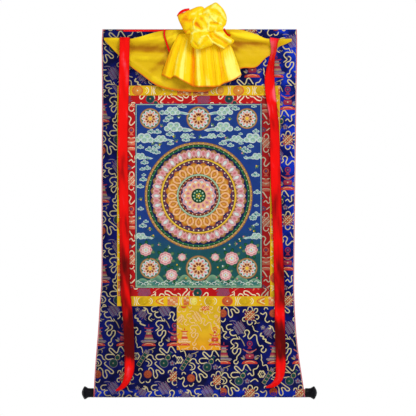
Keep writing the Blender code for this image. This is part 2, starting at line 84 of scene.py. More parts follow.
CANVAS_WIDTH = 0.413
CANVAS_HEIGHT = 0.601
CANVAS_TOP = 0.2425
FRAME_X = -0.0046
RED_WIDTH = 0.0262
YELLOW_WIDTH = 0.0320
DOOR_WIDTH = 0.142
DOOR_HEIGHT = 0.143
TAPE_LEFT = -0.2495
TAPE_RIGHT = 0.1454
TAPE_TOP = 0.0010
TAPE_WIDTH = 0.0065
RIBBON_WIDTH = 0.0335
STRAP_WIDTH = 0.0060
TIE_LOOP_WIDTH = 0.0090

WAVE_HEIGHT = 0.0022
WAVE_LENGTH = 0.290
WAVE_X = 0.040
WAVE_TOP = 0.300
WAVE_FOOT = 1.120
EDGE_CURL = 0.0020
EDGE_CURL_X = 0.320
EDGE_CURL_POWER = 6

PANEL_EDGES = table(
    "drop left right",
    (0, -315, 312.5), (50, -317, 313.5), (200, -316, 311.5), (500, -317.5, 307.5), (820, -318.5, 304),
    (890, -323.5, 305), (980, -329, 310), (1060, -335.5, 318.5), (1130, -340.5, 329), (1200, -343.5, 339.5),
)

VEIL = table(
    "x top hem stand",
    (-312.6, 28, 34.5, 6), (-270, 28.3, 80, 8), (-228.2, 32, 119.7, 11), (-193.3, 24.5, 146, 13),
    (-143.8, 10, 182.2, 15), (-96.2, 3, 197.2, 16), (-32.6, 1, 203.5, 13), (28.7, 1, 201, 13),
    (81.5, 1, 170, 14), (130.4, 2, 130, 16), (182.6, 17, 124, 14), (211.9, 30, 96, 12),
    (228.2, 31.6, 83.8, 11), (254.3, 31, 59, 9), (277.1, 31, 49.5, 8), (299, 31.2, 39, 6),
)

VEIL_CREASES = table(
    "x0 drop0 x1 drop1 width height",
    (-290, 36, -80, 32, 14, 6), (-250, 60, -95, 72, 11, -6), (-240, 88, -105, 98, 13, 5),
    (-112, 90, -170, 150, 11, -4.5), (-270, 72, -110, 188, 7, 3), (105, 16, 235, 42, 13, 6.5),
    (105, 42, 240, 56, 9, -5), (120, 95, 205, 88, 18, 4), (250, 40, 298, 35, 8, 2),
)
# Finer creases that the model leaves out, in the same columns.
VEIL_WRINKLES = table(
    "x0 drop0 x1 drop1 width height",
    (-300, 34, -150, 18, 4, 0.8), (-225, 47, -90, 50, 4, -1), (-215, 78, -120, 81, 3, 1.2),
    (-205, 106, -115, 112, 5, -1), (-185, 128, -120, 120, 5, 0.9), (-150, 148, -105, 122, 4, -0.8),
    (-262, 88, -115, 193, 3, 1), (-85, 10, -110, 62, 4, -1), (96, 12, 150, 26, 4, 1),
    (108, 30, 215, 48, 4, -0.8), (125, 70, 220, 74, 5, 0.8), (105, 110, 180, 112, 5, -0.7),
)
GATHER_RATE = 46  # radians of the veil's fine gathers to a radian round the knot
GATHER_DEPTH = 0.0009
GATHER_START = 0.06  # where they are deepest, from the knot's middle
GATHER_REACH = 0.11  # over which they die out
VEIL_UNEVEN = 0.0007  # depth of its slight unevenness
# A silk's tone is painted light: nought for shade in the depth of a fold, one for a highlight on its crest.
VEIL_TONE = 0.46  # where the veil is flat
VEIL_RELIEF = 0.022  # height of the veil's folds that takes its tone from nought to one

SKIRT_PLEATS = table(
    "top_x hem_x hem_drop fold | across",
    (-64, -124.9, 149.6, -7, 0), (-57.5, -110.8, 156.2, 4, 0.06), (-51, -96.2, 162, -5, 0.12),
    (-45.5, -83.1, 154.5, 8, 0.18), (-35, -61.9, 166, 11, 0.27), (-22.8, -37.5, 179, 7, 0.36),
    (-17.9, -21.8, 186.8, -9.5, 0.42), (-9.8, -6.5, 189.4, 8.5, 0.48), (0, 9.8, 189.1, -1.5, 0.54),
    (13, 27.7, 189.1, 8, 0.61), (26.1, 45.6, 188.8, -4, 0.68), (39.1, 61.9, 187, 6, 0.75),
    (48.9, 76.6, 178.3, -6, 0.81), (58.7, 96.2, 171.8, 5, 0.88), (68.5, 114.1, 164, -2, 0.94),
    (76.6, 135, 150, -5, 1),
)
SKIRT_TOP = 0.0150
SKIRT_FLARE = 0.70
SKIRT_DEEPEN = 0.70
SKIRT_STAND_TOP = 0.0240
SKIRT_STAND_HEM = 0.0340
SKIRT_SIDE_SWEEP = 0.0080
SKIRT_SIDE_POWER = 4
FINE_PLEATS = 31  # narrow pleats between the skirt's main ones
FINE_PLEAT_DEPTH = 0.0009

# Where the silk catches the light, or lies in the shade of a fold.
VEIL_LIGHTS = table(
    "x drop reach_x reach_drop | light",
    (-170, 22, 50, 12, 0.22), (-163, 58, 60, 14, -0.22), (-185, 100, 50, 14, 0.16),
    (-200, 120, 30, 16, 0.05), (-130, 160, 45, 22, 0.3), (-116, 112, 14, 25, -0.3), (-80, 15, 25, 18, 0.35),
    (30, 190, 120, 18, -0.25), (150, 22, 60, 13, 0.4), (185, 45, 60, 6, -0.25), (173, 85, 50, 25, -0.04),
    (120, 60, 20, 30, -0.25), (200, 110, 40, 10, 0.1),
)
# Painted light and shade across the skirt's pleats, by the share across it.
SKIRT_LIGHTS = table(
    "| across light",
    (0, 0.15), (0.06, 0.6), (0.12, 0.35), (0.18, 0.75), (0.22, 0.55), (0.27, 1.05), (0.31, 0.6),
    (0.36, 0.5), (0.42, 0), (0.48, 1.05), (0.54, 0.6), (0.61, 0.72), (0.68, 0.42), (0.75, 0.62),
    (0.81, 0.25), (0.88, 0.8), (0.94, 1.1), (1, 0.8),
)

# Puffed folds of the bow, from the back to the front. Their outlines are in millimetres, right and
# down of the scroll's middle and top edge.
BOW_PUFFS = table(
    "stand deep | outline",
    (44, 16, ((-72, -40), (-54, -52), (-35, -60), (-4, -72), (14, -66), (16, -30), (4, 6), (-24, 18),
     (-46, 16), (-60, -8))),
    (46, 19, ((2, -52), (18, -68), (36, -78), (51, -85), (62, -78), (78, -60), (87, -35), (82, -10),
     (62, -2), (34, -14), (10, -28))),
    (42, 16, ((22, 4), (50, -4), (73, 5), (89, 23), (111, 38), (104, 49), (94, 53), (78, 65), (52, 52),
     (30, 34))),
    (50, 18, ((-32, -28), (-6, -46), (26, -42), (56, -26), (76, -4), (66, 10), (36, 14), (2, 14),
     (-26, 14), (-40, -6))),
    (56, 19, ((-33, 34), (-30, 16), (-12, 6), (10, 3), (28, 10), (36, 28), (44, 48), (28, 60), (-6, 68),
     (-27, 57))),
)
BOW_CREASES = table(
    "x0 drop0 x1 drop1 width height",
    (-26, 16, -9, 7, 4, 4), (-9, 7, 24, 8, 4, 4), (27, 24, 43, 46, 3, 5), (43, 46, 78, 64, 3, 5),
    (-3, 46, 6, 29, 3, 3), (6, 29, 24, 21, 3, 3), (-19, 0, -21, -22, 3, 3.5), (-21, -22, -14, -34, 3, 3.5),
    (27, 4, 28, -17, 3.2, 4), (28, -17, 35, -38, 3.2, 4), (35, -38, 51, -22, 3, 4),
    (51, -22, 68, -14, 3, 4), (-28, -44, 10, -66, 6, 3), (0, -46, 24, -55, 5, 3.5),
    (24, -55, 51, -79, 5, 3.5), (59, -68, 84, -30, 5, 4), (50, 12, 100, 42, 4, 3.5),
    (32, -17, 57, -17, 5, -6), (-14, -14, 5, 2, 5, -4.5), (-46, 10, -34, 4, 4, -3), (2, -33, 24, -6, 6, -3),
    (-56, -28, -25, -24, 6, -3), (-20, 45, -6, 60, 4, -3), (4, 56, 22, 34, 5, -3), (46, 22, 86, 48, 4, -3),
    (30, -62, 62, -46, 6, -3),
)
CRUMPLE = 0.0016  # height of the bow's small crumples
CRUMPLE_RATES = (42, 90)  # coarse and fine crumples to a metre
PUFF_TONE = 0.56  # where a puffed fold is smooth
PUFF_RELIEF = 0.009  # height of its creases that takes its tone from nought to one
PUFF_SIDE_LIGHT, PUFF_SIDE_REACH = 0.08, 0.04  # more light to the bow's right, less to its left
PUFF_RIM_SHADE = 0.20
PUFF_PATCHES, PUFF_PATCH_RATE = 0.35, 22  # uneven patches of its tone, so many to a metre
POLE = 0.0008  # share left open at the two ends of a puffed fold

RIBBON_LEFT = table(
    "drop x stand | turn",
    (27, -244.8, 16.5, 0), (42, -245, 23.5, 4), (100, -246.2, 23, -6), (135, -247, 17, -2),
    (190, -248, 11, 4), (390, -251.5, 10, 12), (605, -247.1, 10, 14), (850, -242.7, 9.5, 10),
    (957.5, -233.5, 10, 4), (1039, -230.5, 11, 8), (1095, -229.5, 15, 12), (1120, -231.2, 22, 28),
    (1138, -236.2, 30, 44), (1156, -245.8, 35.5, 56), (1167, -257, 38, 68), (1176.5, -273.5, 39, 84),
)
RIBBON_RIGHT = table(
    "drop x stand | turn",
    (30, 244.3, 19, 4), (42, 241.8, 30, 40), (74, 239.6, 32, 58), (96, 235, 29, 57), (133, 229, 19, 40),
    (165, 227, 14, 16), (205, 229, 12, 4), (280, 239, 14.5, 30), (325, 243, 14.5, 28), (459, 245.3, 10, 6),
    (654, 252.7, 14.5, 24), (850, 258.4, 11, 4), (980, 260.8, 10, 6), (1080, 262.8, 13, 8),
    (1115, 261.8, 22, 26), (1135, 257.5, 30, 42), (1150, 248, 35, 54), (1160, 234, 38, 68),
    (1165.5, 214, 39, 84),
)
STRAP = table(
    "drop x stand | turn",
    (1, -115, 18, 0), (20, -116, 24, 6), (45, -109, 23.5, 6), (72, -100, 19, 0), (84, -96.5, 18, 0),
)
TIE_END = table(
    "drop x stand | turn",
    (-1, 78, 27, 0), (11, 83.5, 27.5, 10), (19, 90, 28, 20), (21.5, 99, 28, 20),
)
TIE_LOOP = table(
    "drop x stand | turn",
    (-62.5, -34, 37, 10), (-60, -50, 39, 10), (-51, -64.5, 40, 10), (-39, -71.5, 40, 10),
)
# Light on the long ribbons: nought in the dark red stretches, over 0.65 where they shine.
RIBBON_LIGHTS = table(
    "| drop left right",
    (0.02, 0.46, 0.6), (0.06, 0.6, 0.66), (0.2, 0.58, 0.54), (0.3, 0.58, 0.48), (0.42, 0.48, 0.5),
    (0.5, 0.44, 0.48), (0.56, 0.54, 0.38), (0.63, 0.38, 0.42), (0.7, 0.4, 0.48), (0.76, 0.14, 0.28),
    (0.85, 0.22, 0.26), (0.9, 0.24, 0.32), (0.93, 0.22, 0.6), (0.96, 0.08, 0.12), (1, -0.05, 0),
    (1.06, -0.05, 0), (1.09, 0.42, 0.48), (1.13, 0.6, 0.64), (1.18, 0.66, 0.62),
)
# Pink shine on the turns of the right ribbon. Here x is the share across it.
RIBBON_SHINES = table(
    "| x drop reach_x reach_drop light",
    (0.1, 0.05, 0.4, 0.028, 0.45), (0.92, 0.215, 0.28, 0.024, 1), (0.05, 0.262, 0.24, 0.026, 0.7),
)
RIBBON_RUN = 0.0020  # half the stretch that a ribbon's direction is taken from

Area = namedtuple("Area", "left right top bottom")
Grid = namedtuple("Grid", "columns rows")


def area_below(top, width, height):
    """An area in the middle of the frame."""
    return Area(FRAME_X - width / 2, FRAME_X + width / 2, top, top + height)


CANVAS_AREA = area_below(CANVAS_TOP, CANVAS_WIDTH, CANVAS_HEIGHT)


# ---- curves through a table ----
def along(rows, key, want, at):
    """Column `want` where column `key` is `at`, on a smooth curve through the table's rows."""
    keys = [getattr(row, key) for row in rows]
    values = [getattr(row, want) for row in rows]
    last = len(rows) - 1
    at = min(max(at, keys[0]), keys[last])
    i = min(max(bisect_right(keys, at) - 1, 0), last - 1)

    def slope(k):
        low, high = max(k - 1, 0), min(k + 1, last)
        return (values[high] - values[low]) / (keys[high] - keys[low])

    span = keys[i + 1] - keys[i]
    t = (at - keys[i]) / span
    rise = t * t * (3 - 2 * t)
    return (values[i] * (1 - rise) + values[i + 1] * rise
            + span * slope(i) * t * (1 - t) ** 2 - span * slope(i + 1) * t * t * (1 - t))


def mix(a, b, t):
    return a + (b - a) * t


def clamp(value, low=0.0, high=1.0):
    return min(max(value, low), high)


def bell(distance):
    """One at nought, and dying out softly on both sides by about two."""
    return math.exp(-distance ** 2)


def uneven(scale_x, x, scale_y, y, seed):
    """Soft random relief about nought, the same at each run."""
    return noise.noise(Vector((x * scale_x, y * scale_y, seed)))


def place(x, forward, drop):
    """World point of a place on the scroll."""
    return Vector((x, -forward, -drop))


def linear(red, green, blue):
    """Linear colour of a screen colour given in steps of 255."""
    return tuple((c / 255 / 12.92 if c <= 10 else ((c / 255 + 0.055) / 1.055) ** 2.4)
                 for c in (red, green, blue))


# ---- shapes of the cloths ----
PANEL_COLUMNS = 64
PANEL_FLAT_ROWS = 128
PANEL_BEND_ROWS = 8
PANEL_ARC_ROWS = 30


def ground(x, drop):
    """How far the ground cloth's middle stands forward: soft waves that die out at both ends."""
    down = clamp((drop - WAVE_TOP) / (WAVE_FOOT - WAVE_TOP))
    swell = math.sin(math.pi * down) ** 2
    wave = WAVE_HEIGHT * math.sin(2 * math.pi * (x - WAVE_X) / WAVE_LENGTH) * swell
    half = math.sin(math.pi * min(drop / SLEEVE_SEAM, 1.0)) ** 2
    curl = EDGE_CURL * half * (abs(x) / EDGE_CURL_X) ** EDGE_CURL_POWER
    return wave + curl


def sleeve_path():
    """Middle line of the ground cloth in section: straight down, round the roller, up the back."""
    flat_end = SLEEVE_SEAM - SEAM_BEND
    path = [(0.0, flat_end * i / PANEL_FLAT_ROWS) for i in range(PANEL_FLAT_ROWS)]
    lean = math.asin(SLEEVE_RADIUS / (ROLLER_DROP - SLEEVE_SEAM))
    bend_end = (SEAM_BEND * math.sin(lean), SLEEVE_SEAM + SEAM_BEND * math.cos(lean))
    for i in range(PANEL_BEND_ROWS + 1):
        t = i / PANEL_BEND_ROWS
        path.append((bend_end[0] * t * t,
                     flat_end * (1 - t) ** 2 + 2 * SLEEVE_SEAM * t * (1 - t) + bend_end[1] * t * t))
    for i in range(PANEL_ARC_ROWS + 1):
        turn = mix(-lean, math.pi + lean, i / PANEL_ARC_ROWS)
        path.append((SLEEVE_RADIUS * math.cos(turn), ROLLER_DROP + SLEEVE_RADIUS * math.sin(turn)))
    behind = PANEL_THICKNESS + 2 * FIT_GAP
    path.append((-behind - HEM_EASE_BACK, SLEEVE_SEAM + HEM_EASE_DROP))
    path.append((-behind, SLEEVE_SEAM))
    path.append((-behind, SLEEVE_SEAM - HEM_TURN_UP))
    return path


SLEEVE = sleeve_path()
SLEEVE_RUNS = [0.0]  # length of cloth down to each point of the path
for before, after in zip(SLEEVE, SLEEVE[1:]):
    SLEEVE_RUNS.append(SLEEVE_RUNS[-1] + math.hypot(after[0] - before[0], after[1] - before[1]))


def panel_edge(side, drop):
    return along(PANEL_EDGES, "drop", side, drop)


def panel_place(u, forward, drop):
    x = mix(panel_edge("left", drop), panel_edge("right", drop), u)
    return place(x, ground(x, drop) + forward, drop)


def on_ground(x, run, lift):
    """A place on the ground cloth's right side: run is the length of cloth down to it."""
    i = clamp(bisect_right(SLEEVE_RUNS, run) - 1, 0, len(SLEEVE) - 2)
    (f0, d0), (f1, d1) = SLEEVE[i], SLEEVE[i + 1]
    length = SLEEVE_RUNS[i + 1] - SLEEVE_RUNS[i]
    t = (run - SLEEVE_RUNS[i]) / length
    out_forward, out_drop = (d1 - d0) / length, -(f1 - f0) / length
    away = PANEL_THICKNESS / 2 + lift
    drop = mix(d0, d1, t)
    x = clamp(x, panel_edge("left", drop), panel_edge("right", drop))
    return place(x, mix(f0, f1, t) + ground(x, drop) + out_forward * away, drop + out_drop * away)


def on_patch(x, drop, lift):
    """A place on the right side of a piece sewn on the ground cloth."""
    return place(x, ground(x, drop) + PANEL_THICKNESS / 2 + FIT_GAP + PATCH_THICKNESS + lift, drop)


def crease_relief(rows, x, drop):
    """Forward relief of a cloth at a place: each crease is a soft ridge along its line."""
    total = 0.0
    for row in rows:
        run = Vector((row.x1 - row.x0, row.drop1 - row.drop0))
        away = Vector((x - row.x0, drop - row.drop0))
        t = clamp(away.dot(run) / run.length_squared)
        distance = (away - run * t).length
        total += row.height * bell(distance / row.width)
    return total


def veil_gathers(x, drop):
    """Fine gathers that run out from the knot along the swags, and slight unevenness."""
    reach = math.hypot(x, drop - 0.02)
    angle = math.atan2(drop + 0.02, abs(x))
    gathers = math.sin(angle * GATHER_RATE + 3.0 * uneven(9, x, 14, drop, 3.0))
    return (GATHER_DEPTH * gathers * bell((reach - GATHER_START) / GATHER_REACH)
            + VEIL_UNEVEN * uneven(26, x, 60, drop, 7.0))


def veil_forward(x, drop):
    return (along(VEIL, "x", "stand", x) + crease_relief(VEIL_CREASES, x, drop)
            + crease_relief(VEIL_WRINKLES, x, drop) + veil_gathers(x, drop))


def veil_place(u, v):
    x = mix(VEIL[0].x, VEIL[-1].x, u)
    drop = mix(along(VEIL, "x", "top", x), along(VEIL, "x", "hem", x), v)
    return place(x, veil_forward(x, drop), drop)


# Painted light on the veil: highlights on its crests, shade in its folds, and soft patches of both.
def veil_painted_light(u, v):
    point = veil_place(u, v)
    x, drop = point.x, -point.z
    relief = (crease_relief(VEIL_CREASES, x, drop)
              + 2 * crease_relief(VEIL_WRINKLES, x, drop) + 2 * veil_gathers(x, drop))
    return clamp(VEIL_TONE + relief / VEIL_RELIEF + glints(VEIL_LIGHTS, x, drop))


def fine_pleats(u, v):
    """Ripples about nought, of uneven size and spacing."""
    size = 0.45 + 0.75 * uneven(8, u, 2, v, 5.0)
    return math.cos(2 * math.pi * FINE_PLEATS * u + 9.0 * uneven(5, u, 1.5, v, 11.0)) * size


def skirt_place(u, v):
    top_x, hem_x, hem_drop, fold = (along(SKIRT_PLEATS, "across", want, u)
                                    for want in ("top_x", "hem_x", "hem_drop", "fold"))
    stand = mix(SKIRT_STAND_TOP, SKIRT_STAND_HEM, math.sin(v * math.pi / 2))
    side = (2 * u - 1) ** SKIRT_SIDE_POWER * SKIRT_SIDE_SWEEP * v
    fine = FINE_PLEAT_DEPTH * fine_pleats(u, v) * math.sin(math.pi * clamp(v + 0.15)) ** 0.5
    return place(mix(top_x, hem_x, v ** SKIRT_FLARE),
                 stand - side + fold * v ** SKIRT_DEEPEN + fine, mix(SKIRT_TOP, hem_drop, v))


# Painted light on the skirt: highlights and shade across its pleats, and uneven patches at random.
def skirt_painted_light(u, v):
    cloudy = uneven(9, u, 2.2, v, 21.0)
    light = along(SKIRT_LIGHTS, "across", "light", u + 0.02 * cloudy)
    return clamp(mix(0.5, light, v ** 0.4) + 0.10 * fine_pleats(u, v) + 0.28 * cloudy)


def ribbon_middle(rows, drop):
    return place(along(rows, "drop", "x", drop), along(rows, "drop", "stand", drop), drop)


def ribbon_drop(rows, v):
    """Each row of a ribbon's table takes an even share of v."""
    shares = v * (len(rows) - 1)
    row = min(int(shares), len(rows) - 2)
    return mix(rows[row].drop, rows[row + 1].drop, shares - row)


def glints(rows, x, drop):
    """Light at a place from soft patches, or shade where it is negative."""
    return sum(row.light * bell((x - row.x) / row.reach_x) * bell((drop - row.drop) / row.reach_drop)
               for row in rows)


def ribbon_place(rows, width, u, v):
    """Point of a ribbon: v down its rows, u across it, turned about its line."""
    drop = ribbon_drop(rows, v)
    run = (ribbon_middle(rows, min(drop + RIBBON_RUN, rows[-1].drop))
           - ribbon_middle(rows, max(drop - RIBBON_RUN, rows[0].drop)))
    run.normalize()
    turn = math.radians(along(rows, "drop", "turn", drop))
    level = Vector((0, 1, 0)).cross(run).normalized()
    outward = run.cross(level)
    across = level * math.cos(turn) + outward * math.sin(turn)
    return ribbon_middle(rows, drop) + across * (0.5 - u) * width


def crumples(x, forward, drop):
    """Small sharp-backed crumples of silk that was tied up by hand."""
    coarse, fine = (0.3 - abs(noise.noise(Vector((x, forward, drop)) * rate)) for rate in CRUMPLE_RATES)
    return coarse + 0.5 * fine


def puff_place(puff, outline, u, v):
    """A place on a puffed fold: u round its outline, v from its front to its back."""
    heart = sum(outline, Vector((0, 0))) / len(outline)
    share = u * len(outline)
    i = int(share) % len(outline)
    edge = mix(outline[i], outline[(i + 1) % len(outline)], share % 1)
    x, drop = mix(heart, edge, math.sin(math.pi * v) ** 0.85) * MM
    front = math.cos(math.pi * v)
    relief = crease_relief(BOW_CREASES, x, drop) + CRUMPLE * crumples(x, puff.stand, drop)
    return place(x, puff.stand + puff.deep * front + relief * clamp(3 * front, -0.3), drop)


# Painted light on a puffed fold: highlights on creases, shade towards its rim, more light to the right, and
# uneven patches.
def puff_painted_light(puff, outline, u, v):
    point = puff_place(puff, outline, u, v)
    x, drop = point.x, -point.z
    relief = crease_relief(BOW_CREASES, x, drop) + 3 * CRUMPLE * crumples(x, puff.stand, drop)
    rim = math.sin(math.pi * clamp(v, 0, 0.5)) ** 6
    side = PUFF_SIDE_LIGHT * clamp(x / PUFF_SIDE_REACH, -1)
    patches = PUFF_PATCHES * uneven(PUFF_PATCH_RATE, x, PUFF_PATCH_RATE, drop, puff.stand * 99)
    return clamp(PUFF_TONE + side + relief / PUFF_RELIEF - PUFF_RIM_SHADE * rim + patches)


# ---- finishes ----
class Finish:
    """A material whose nodes are added one at a time and joined to its shader."""

    def __init__(self, name, **values):
        """The values are of the shader's sockets, whose names have underscores for spaces here."""
        self.material = bpy.data.materials.new(name)
        self.material.use_nodes = True
        self.tree = self.material.node_tree
        self.shader = self.tree.nodes["Principled BSDF"]
        for socket, value in values.items():
            self.set(socket.replace("_", " "), value)

    def join(self, socket, value):
        if isinstance(value, bpy.types.NodeSocket):
            self.tree.links.new(value, socket)
        else:
            socket.default_value = (*value, 1.0) if socket.type == "RGBA" else value

    def add(self, kind, inputs=None, **settings):
        """A new node: inputs are joined or set by name or number, settings are its own choices."""
        made = self.tree.nodes.new("ShaderNode" + kind)
        for name, value in settings.items():
            setattr(made, name, value)
        for name, value in (inputs or {}).items():
            self.join(made.inputs[name], value)
        return made

    def math(self, operation, a, b=0.5, **settings):
        return self.add("Math", {0: a, 1: b}, operation=operation, **settings).outputs[0]

    def blend(self, share, a, b, how="MIX"):
        made = self.add("Mix", data_type="RGBA", blend_type=how)
        self.join(made.inputs["Factor"], share)
        self.join(made.inputs["A"], a)
        self.join(made.inputs["B"], b)
        return made.outputs["Result"]

    def ramp(self, value, low, high, out_low=0.0, out_high=1.0):
        return self.add("MapRange", {"Value": value, "From Min": low, "From Max": high,
                                     "To Min": out_low, "To Max": out_high},
                        interpolation_type="SMOOTHSTEP").outputs["Result"]

    def attribute(self, name):
        return self.add("Attribute", attribute_name=name)

    def own_place(self):
        return self.add("TexCoord").outputs["Object"]

    def part(self, at, axis):
        return self.add("SeparateXYZ", {"Vector": at}).outputs[axis]

    def weave_place(self):
        """The cloth's own second map, in metres across and along it."""
        return self.add("UVMap", uv_map="weave").outputs["UV"]

    def noise(self, at, scale, detail=3.0, stretch=(1, 1, 1)):
        at = self.add("Mapping", {"Vector": at, "Scale": stretch}).outputs["Vector"]
        return self.add("TexNoise", {"Vector": at, "Scale": scale, "Detail": detail}).outputs["Fac"]

    def threads(self, at, pitch, direction="X"):
        """Rows of threads at a pitch in metres."""
        return self.add("TexWave", {"Vector": at, "Scale": math.pi / 10 / pitch,
                                    "Distortion": 0.3, "Detail": 1.0},
                        bands_direction=direction).outputs["Fac"]

    def cloudy(self, at, scale, low, high, most, colour, other, how="MIX"):
        """A colour with soft patches of another one, or dimmed by it."""
        share = self.ramp(self.noise(at, scale), low, high, 0.0, most)
        return self.blend(share, colour, other, how)

    def bump(self, height, distance, strength=1.0, under=None):
        made = self.add("Bump", {"Height": height, "Distance": distance, "Strength": strength})
        if under:
            self.join(made.inputs["Normal"], under)
        return made.outputs["Normal"]

    def set(self, socket, value):
        self.join(self.shader.inputs[socket], value)


def plain_weave(finish, pitch, depth=0.00008):
    """Bump of a plain weave: warp and weft rows, with threads a little uneven."""
    at = finish.weave_place()
    warp, weft = finish.threads(at, pitch, "X"), finish.threads(at, pitch * 0.85, "Y")
    return finish.bump(finish.math("MAXIMUM", warp, weft), depth)


# Each silk's dye and gloss, and in crumple the height in metres of its fine creases.
# A silk's fold and glow colours, beside its dye, are its painted shade and painted highlight.
SILKS = table(
    "| name dye hem sheen roughness specular crumple",
    ("red_silk_satin", "ribbon", "ribbon_fold", 0.0, 0.5, 0.08, 0.0010),
    ("yellow_silk_satin", "silk", "silk_hem", 0.05, 0.42, 0.12, 0.0032),
    ("veil_silk", "veil", "silk_hem", 0.05, 0.5, 0.12, 0.0018),
)
RED_SILK, YELLOW_SILK, VEIL_SILK = SILKS


def satin_finish(scene, silk):
    """Silk satin with slubs in its weft, and fine creases that catch a little light."""
    # The fold colour is painted shade in deep folds, the glow colour a painted highlight on crests.
    deep, plain, glow, hem = (getattr(scene.scroll_colours, dye) for dye in
                              (silk.dye + "_fold", silk.dye, silk.dye + "_glow", silk.hem))
    finish = Finish(silk.name, Roughness=silk.roughness, Sheen_Weight=silk.sheen, Sheen_Roughness=0.35,
                    Specular_IOR_Level=silk.specular)
    at = finish.weave_place()
    patches = finish.math("MULTIPLY", finish.math("SUBTRACT", finish.noise(at, 22.0), 0.5), 0.25)
    tone = finish.math("ADD", finish.attribute("tone").outputs["Fac"], patches)
    wrinkled = finish.noise(finish.own_place(), 34.0, 3.0, (1.0, 1.0, 0.6))
    valley = finish.math("ABSOLUTE", finish.math("SUBTRACT", wrinkled, 0.5))
    # Painted shade along the lines of the fine creases, a little lighter between them.
    tone = finish.math("SUBTRACT", tone, 8 * silk.crumple)
    tone = finish.math("ADD", tone, finish.ramp(valley, 0.0, 0.05, 0.0, 25 * silk.crumple))
    colour = finish.blend(finish.ramp(tone, 0.0, 0.6), deep, plain)
    colour = finish.blend(finish.ramp(tone, 0.65, 1.05), colour, glow)
    finish.set("Base Color", finish.blend(finish.attribute("hem").outputs["Fac"], colour, hem))
    slubs = finish.noise(at, 900.0, 2.0, (0.08, 1.0, 1.0))
    height = finish.math("ADD", finish.threads(at, scene.scroll_sizes.slub_pitch, "Y"), slubs)
    finish.set("Normal", finish.bump(height, 0.00006, 0.6, finish.bump(valley, -silk.crumple)))
    return finish.material


# ---- making pieces ----
def select_only(obj):
    bpy.ops.object.select_all(action="DESELECT")
    obj.select_set(True)
    bpy.context.view_layer.objects.active = obj


def added(name, primitive, **settings):
    """A new primitive, added with nothing else selected."""
    bpy.ops.object.select_all(action="DESELECT")
    primitive(**settings)
    bpy.context.object.name = name
    return bpy.context.object


def apply_modifier(obj, kind, **settings):
    select_only(obj)
    modifier = obj.modifiers.new(kind.lower(), kind)
    for name, value in settings.items():
        setattr(modifier, name, value)
    bpy.ops.object.modifier_apply(modifier=modifier.name)


def shade_smooth(obj, degrees=50):
    select_only(obj)
    bpy.ops.object.shade_smooth_by_angle(angle=math.radians(degrees))


def new_object(name, verts, faces, material):
    mesh = bpy.data.meshes.new(name)
    mesh.from_pydata(verts, [], faces)
    mesh.materials.append(material)
    obj = bpy.data.objects.new(name, mesh)
    bpy.context.collection.objects.link(obj)
    return obj


def grid_faces(columns, rows):
    for r in range(rows):
        for c in range(columns):
            at = r * (columns + 1) + c
            yield at, at + columns + 1, at + columns + 2, at + 1


def cloth(name, grid, shape, thickness, material, size, tones=None):
    """A cloth from a grid of places. size is its width and length, by which its weave is scaled."""
    shares = [(c / grid.columns, r / grid.rows)
              for r in range(grid.rows + 1) for c in range(grid.columns + 1)]
    obj = new_object(name, [shape(u, v) for u, v in shares],
                     list(grid_faces(grid.columns, grid.rows)), material)
    mesh = obj.data
    for layer, (wide, long) in (("OFBake", (1, 1)), ("weave", size)):
        uv = mesh.uv_layers.new(name=layer)
        for loop in mesh.loops:
            u, v = shares[loop.vertex_index]
            uv.data[loop.index].uv = (u * wide, (1 - v) * long)
    for tone, value in (tones or {}).items():
        attribute = mesh.attributes.new(tone, "FLOAT", "POINT")
        for i, (u, v) in enumerate(shares):
            attribute.data[i].value = value(u, v)
    obj["flat_area"] = sum(polygon.area for polygon in mesh.polygons)
    apply_modifier(obj, "SOLIDIFY", thickness=thickness, offset=0.0)
    shade_smooth(obj)
    return obj


def fit(obj, slot, *nodes):
    """The piece takes the nodes' place and rides with the scroll."""
    if nodes:
        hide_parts(*nodes)
    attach(obj, "root")
    return obj


def hung(obj, size, with_pieces=()):
    """Reads a cloth's own measured area, at most the width and length that it was cut to, and clears it."""
    area = min(obj["flat_area"], size[0] * size[1])
    del obj["flat_area"]


# ---- areas of the pieces sewn on the ground cloth ----
def frame_strips(prefix, width, inner):
    """Names and areas of the four border strips round an area, and the area that they fill."""
    left, right = inner.left - FIT_GAP, inner.right + FIT_GAP
    top, bottom = inner.top - FIT_GAP, inner.bottom + FIT_GAP
    outer = Area(left - width, right + width, top - width, bottom + width)
    return outer, {
        prefix + "_top": Area(outer.left, outer.right, outer.top, top),
        prefix + "_bottom": Area(outer.left, outer.right, bottom, outer.bottom),
        prefix + "_left": Area(outer.left, left, inner.top, inner.bottom),
        prefix + "_right": Area(right, outer.right, inner.top, inner.bottom),
    }


RED_AREA, RED_STRIPS = frame_strips("red", RED_WIDTH, CANVAS_AREA)
YELLOW_AREA, YELLOW_STRIPS = frame_strips("yellow", YELLOW_WIDTH, RED_AREA)
DOOR_AREA = area_below(YELLOW_AREA.bottom + FIT_GAP, DOOR_WIDTH, DOOR_HEIGHT)
TAPE_AREA = Area(TAPE_LEFT, TAPE_RIGHT, TAPE_TOP, TAPE_TOP + TAPE_WIDTH)


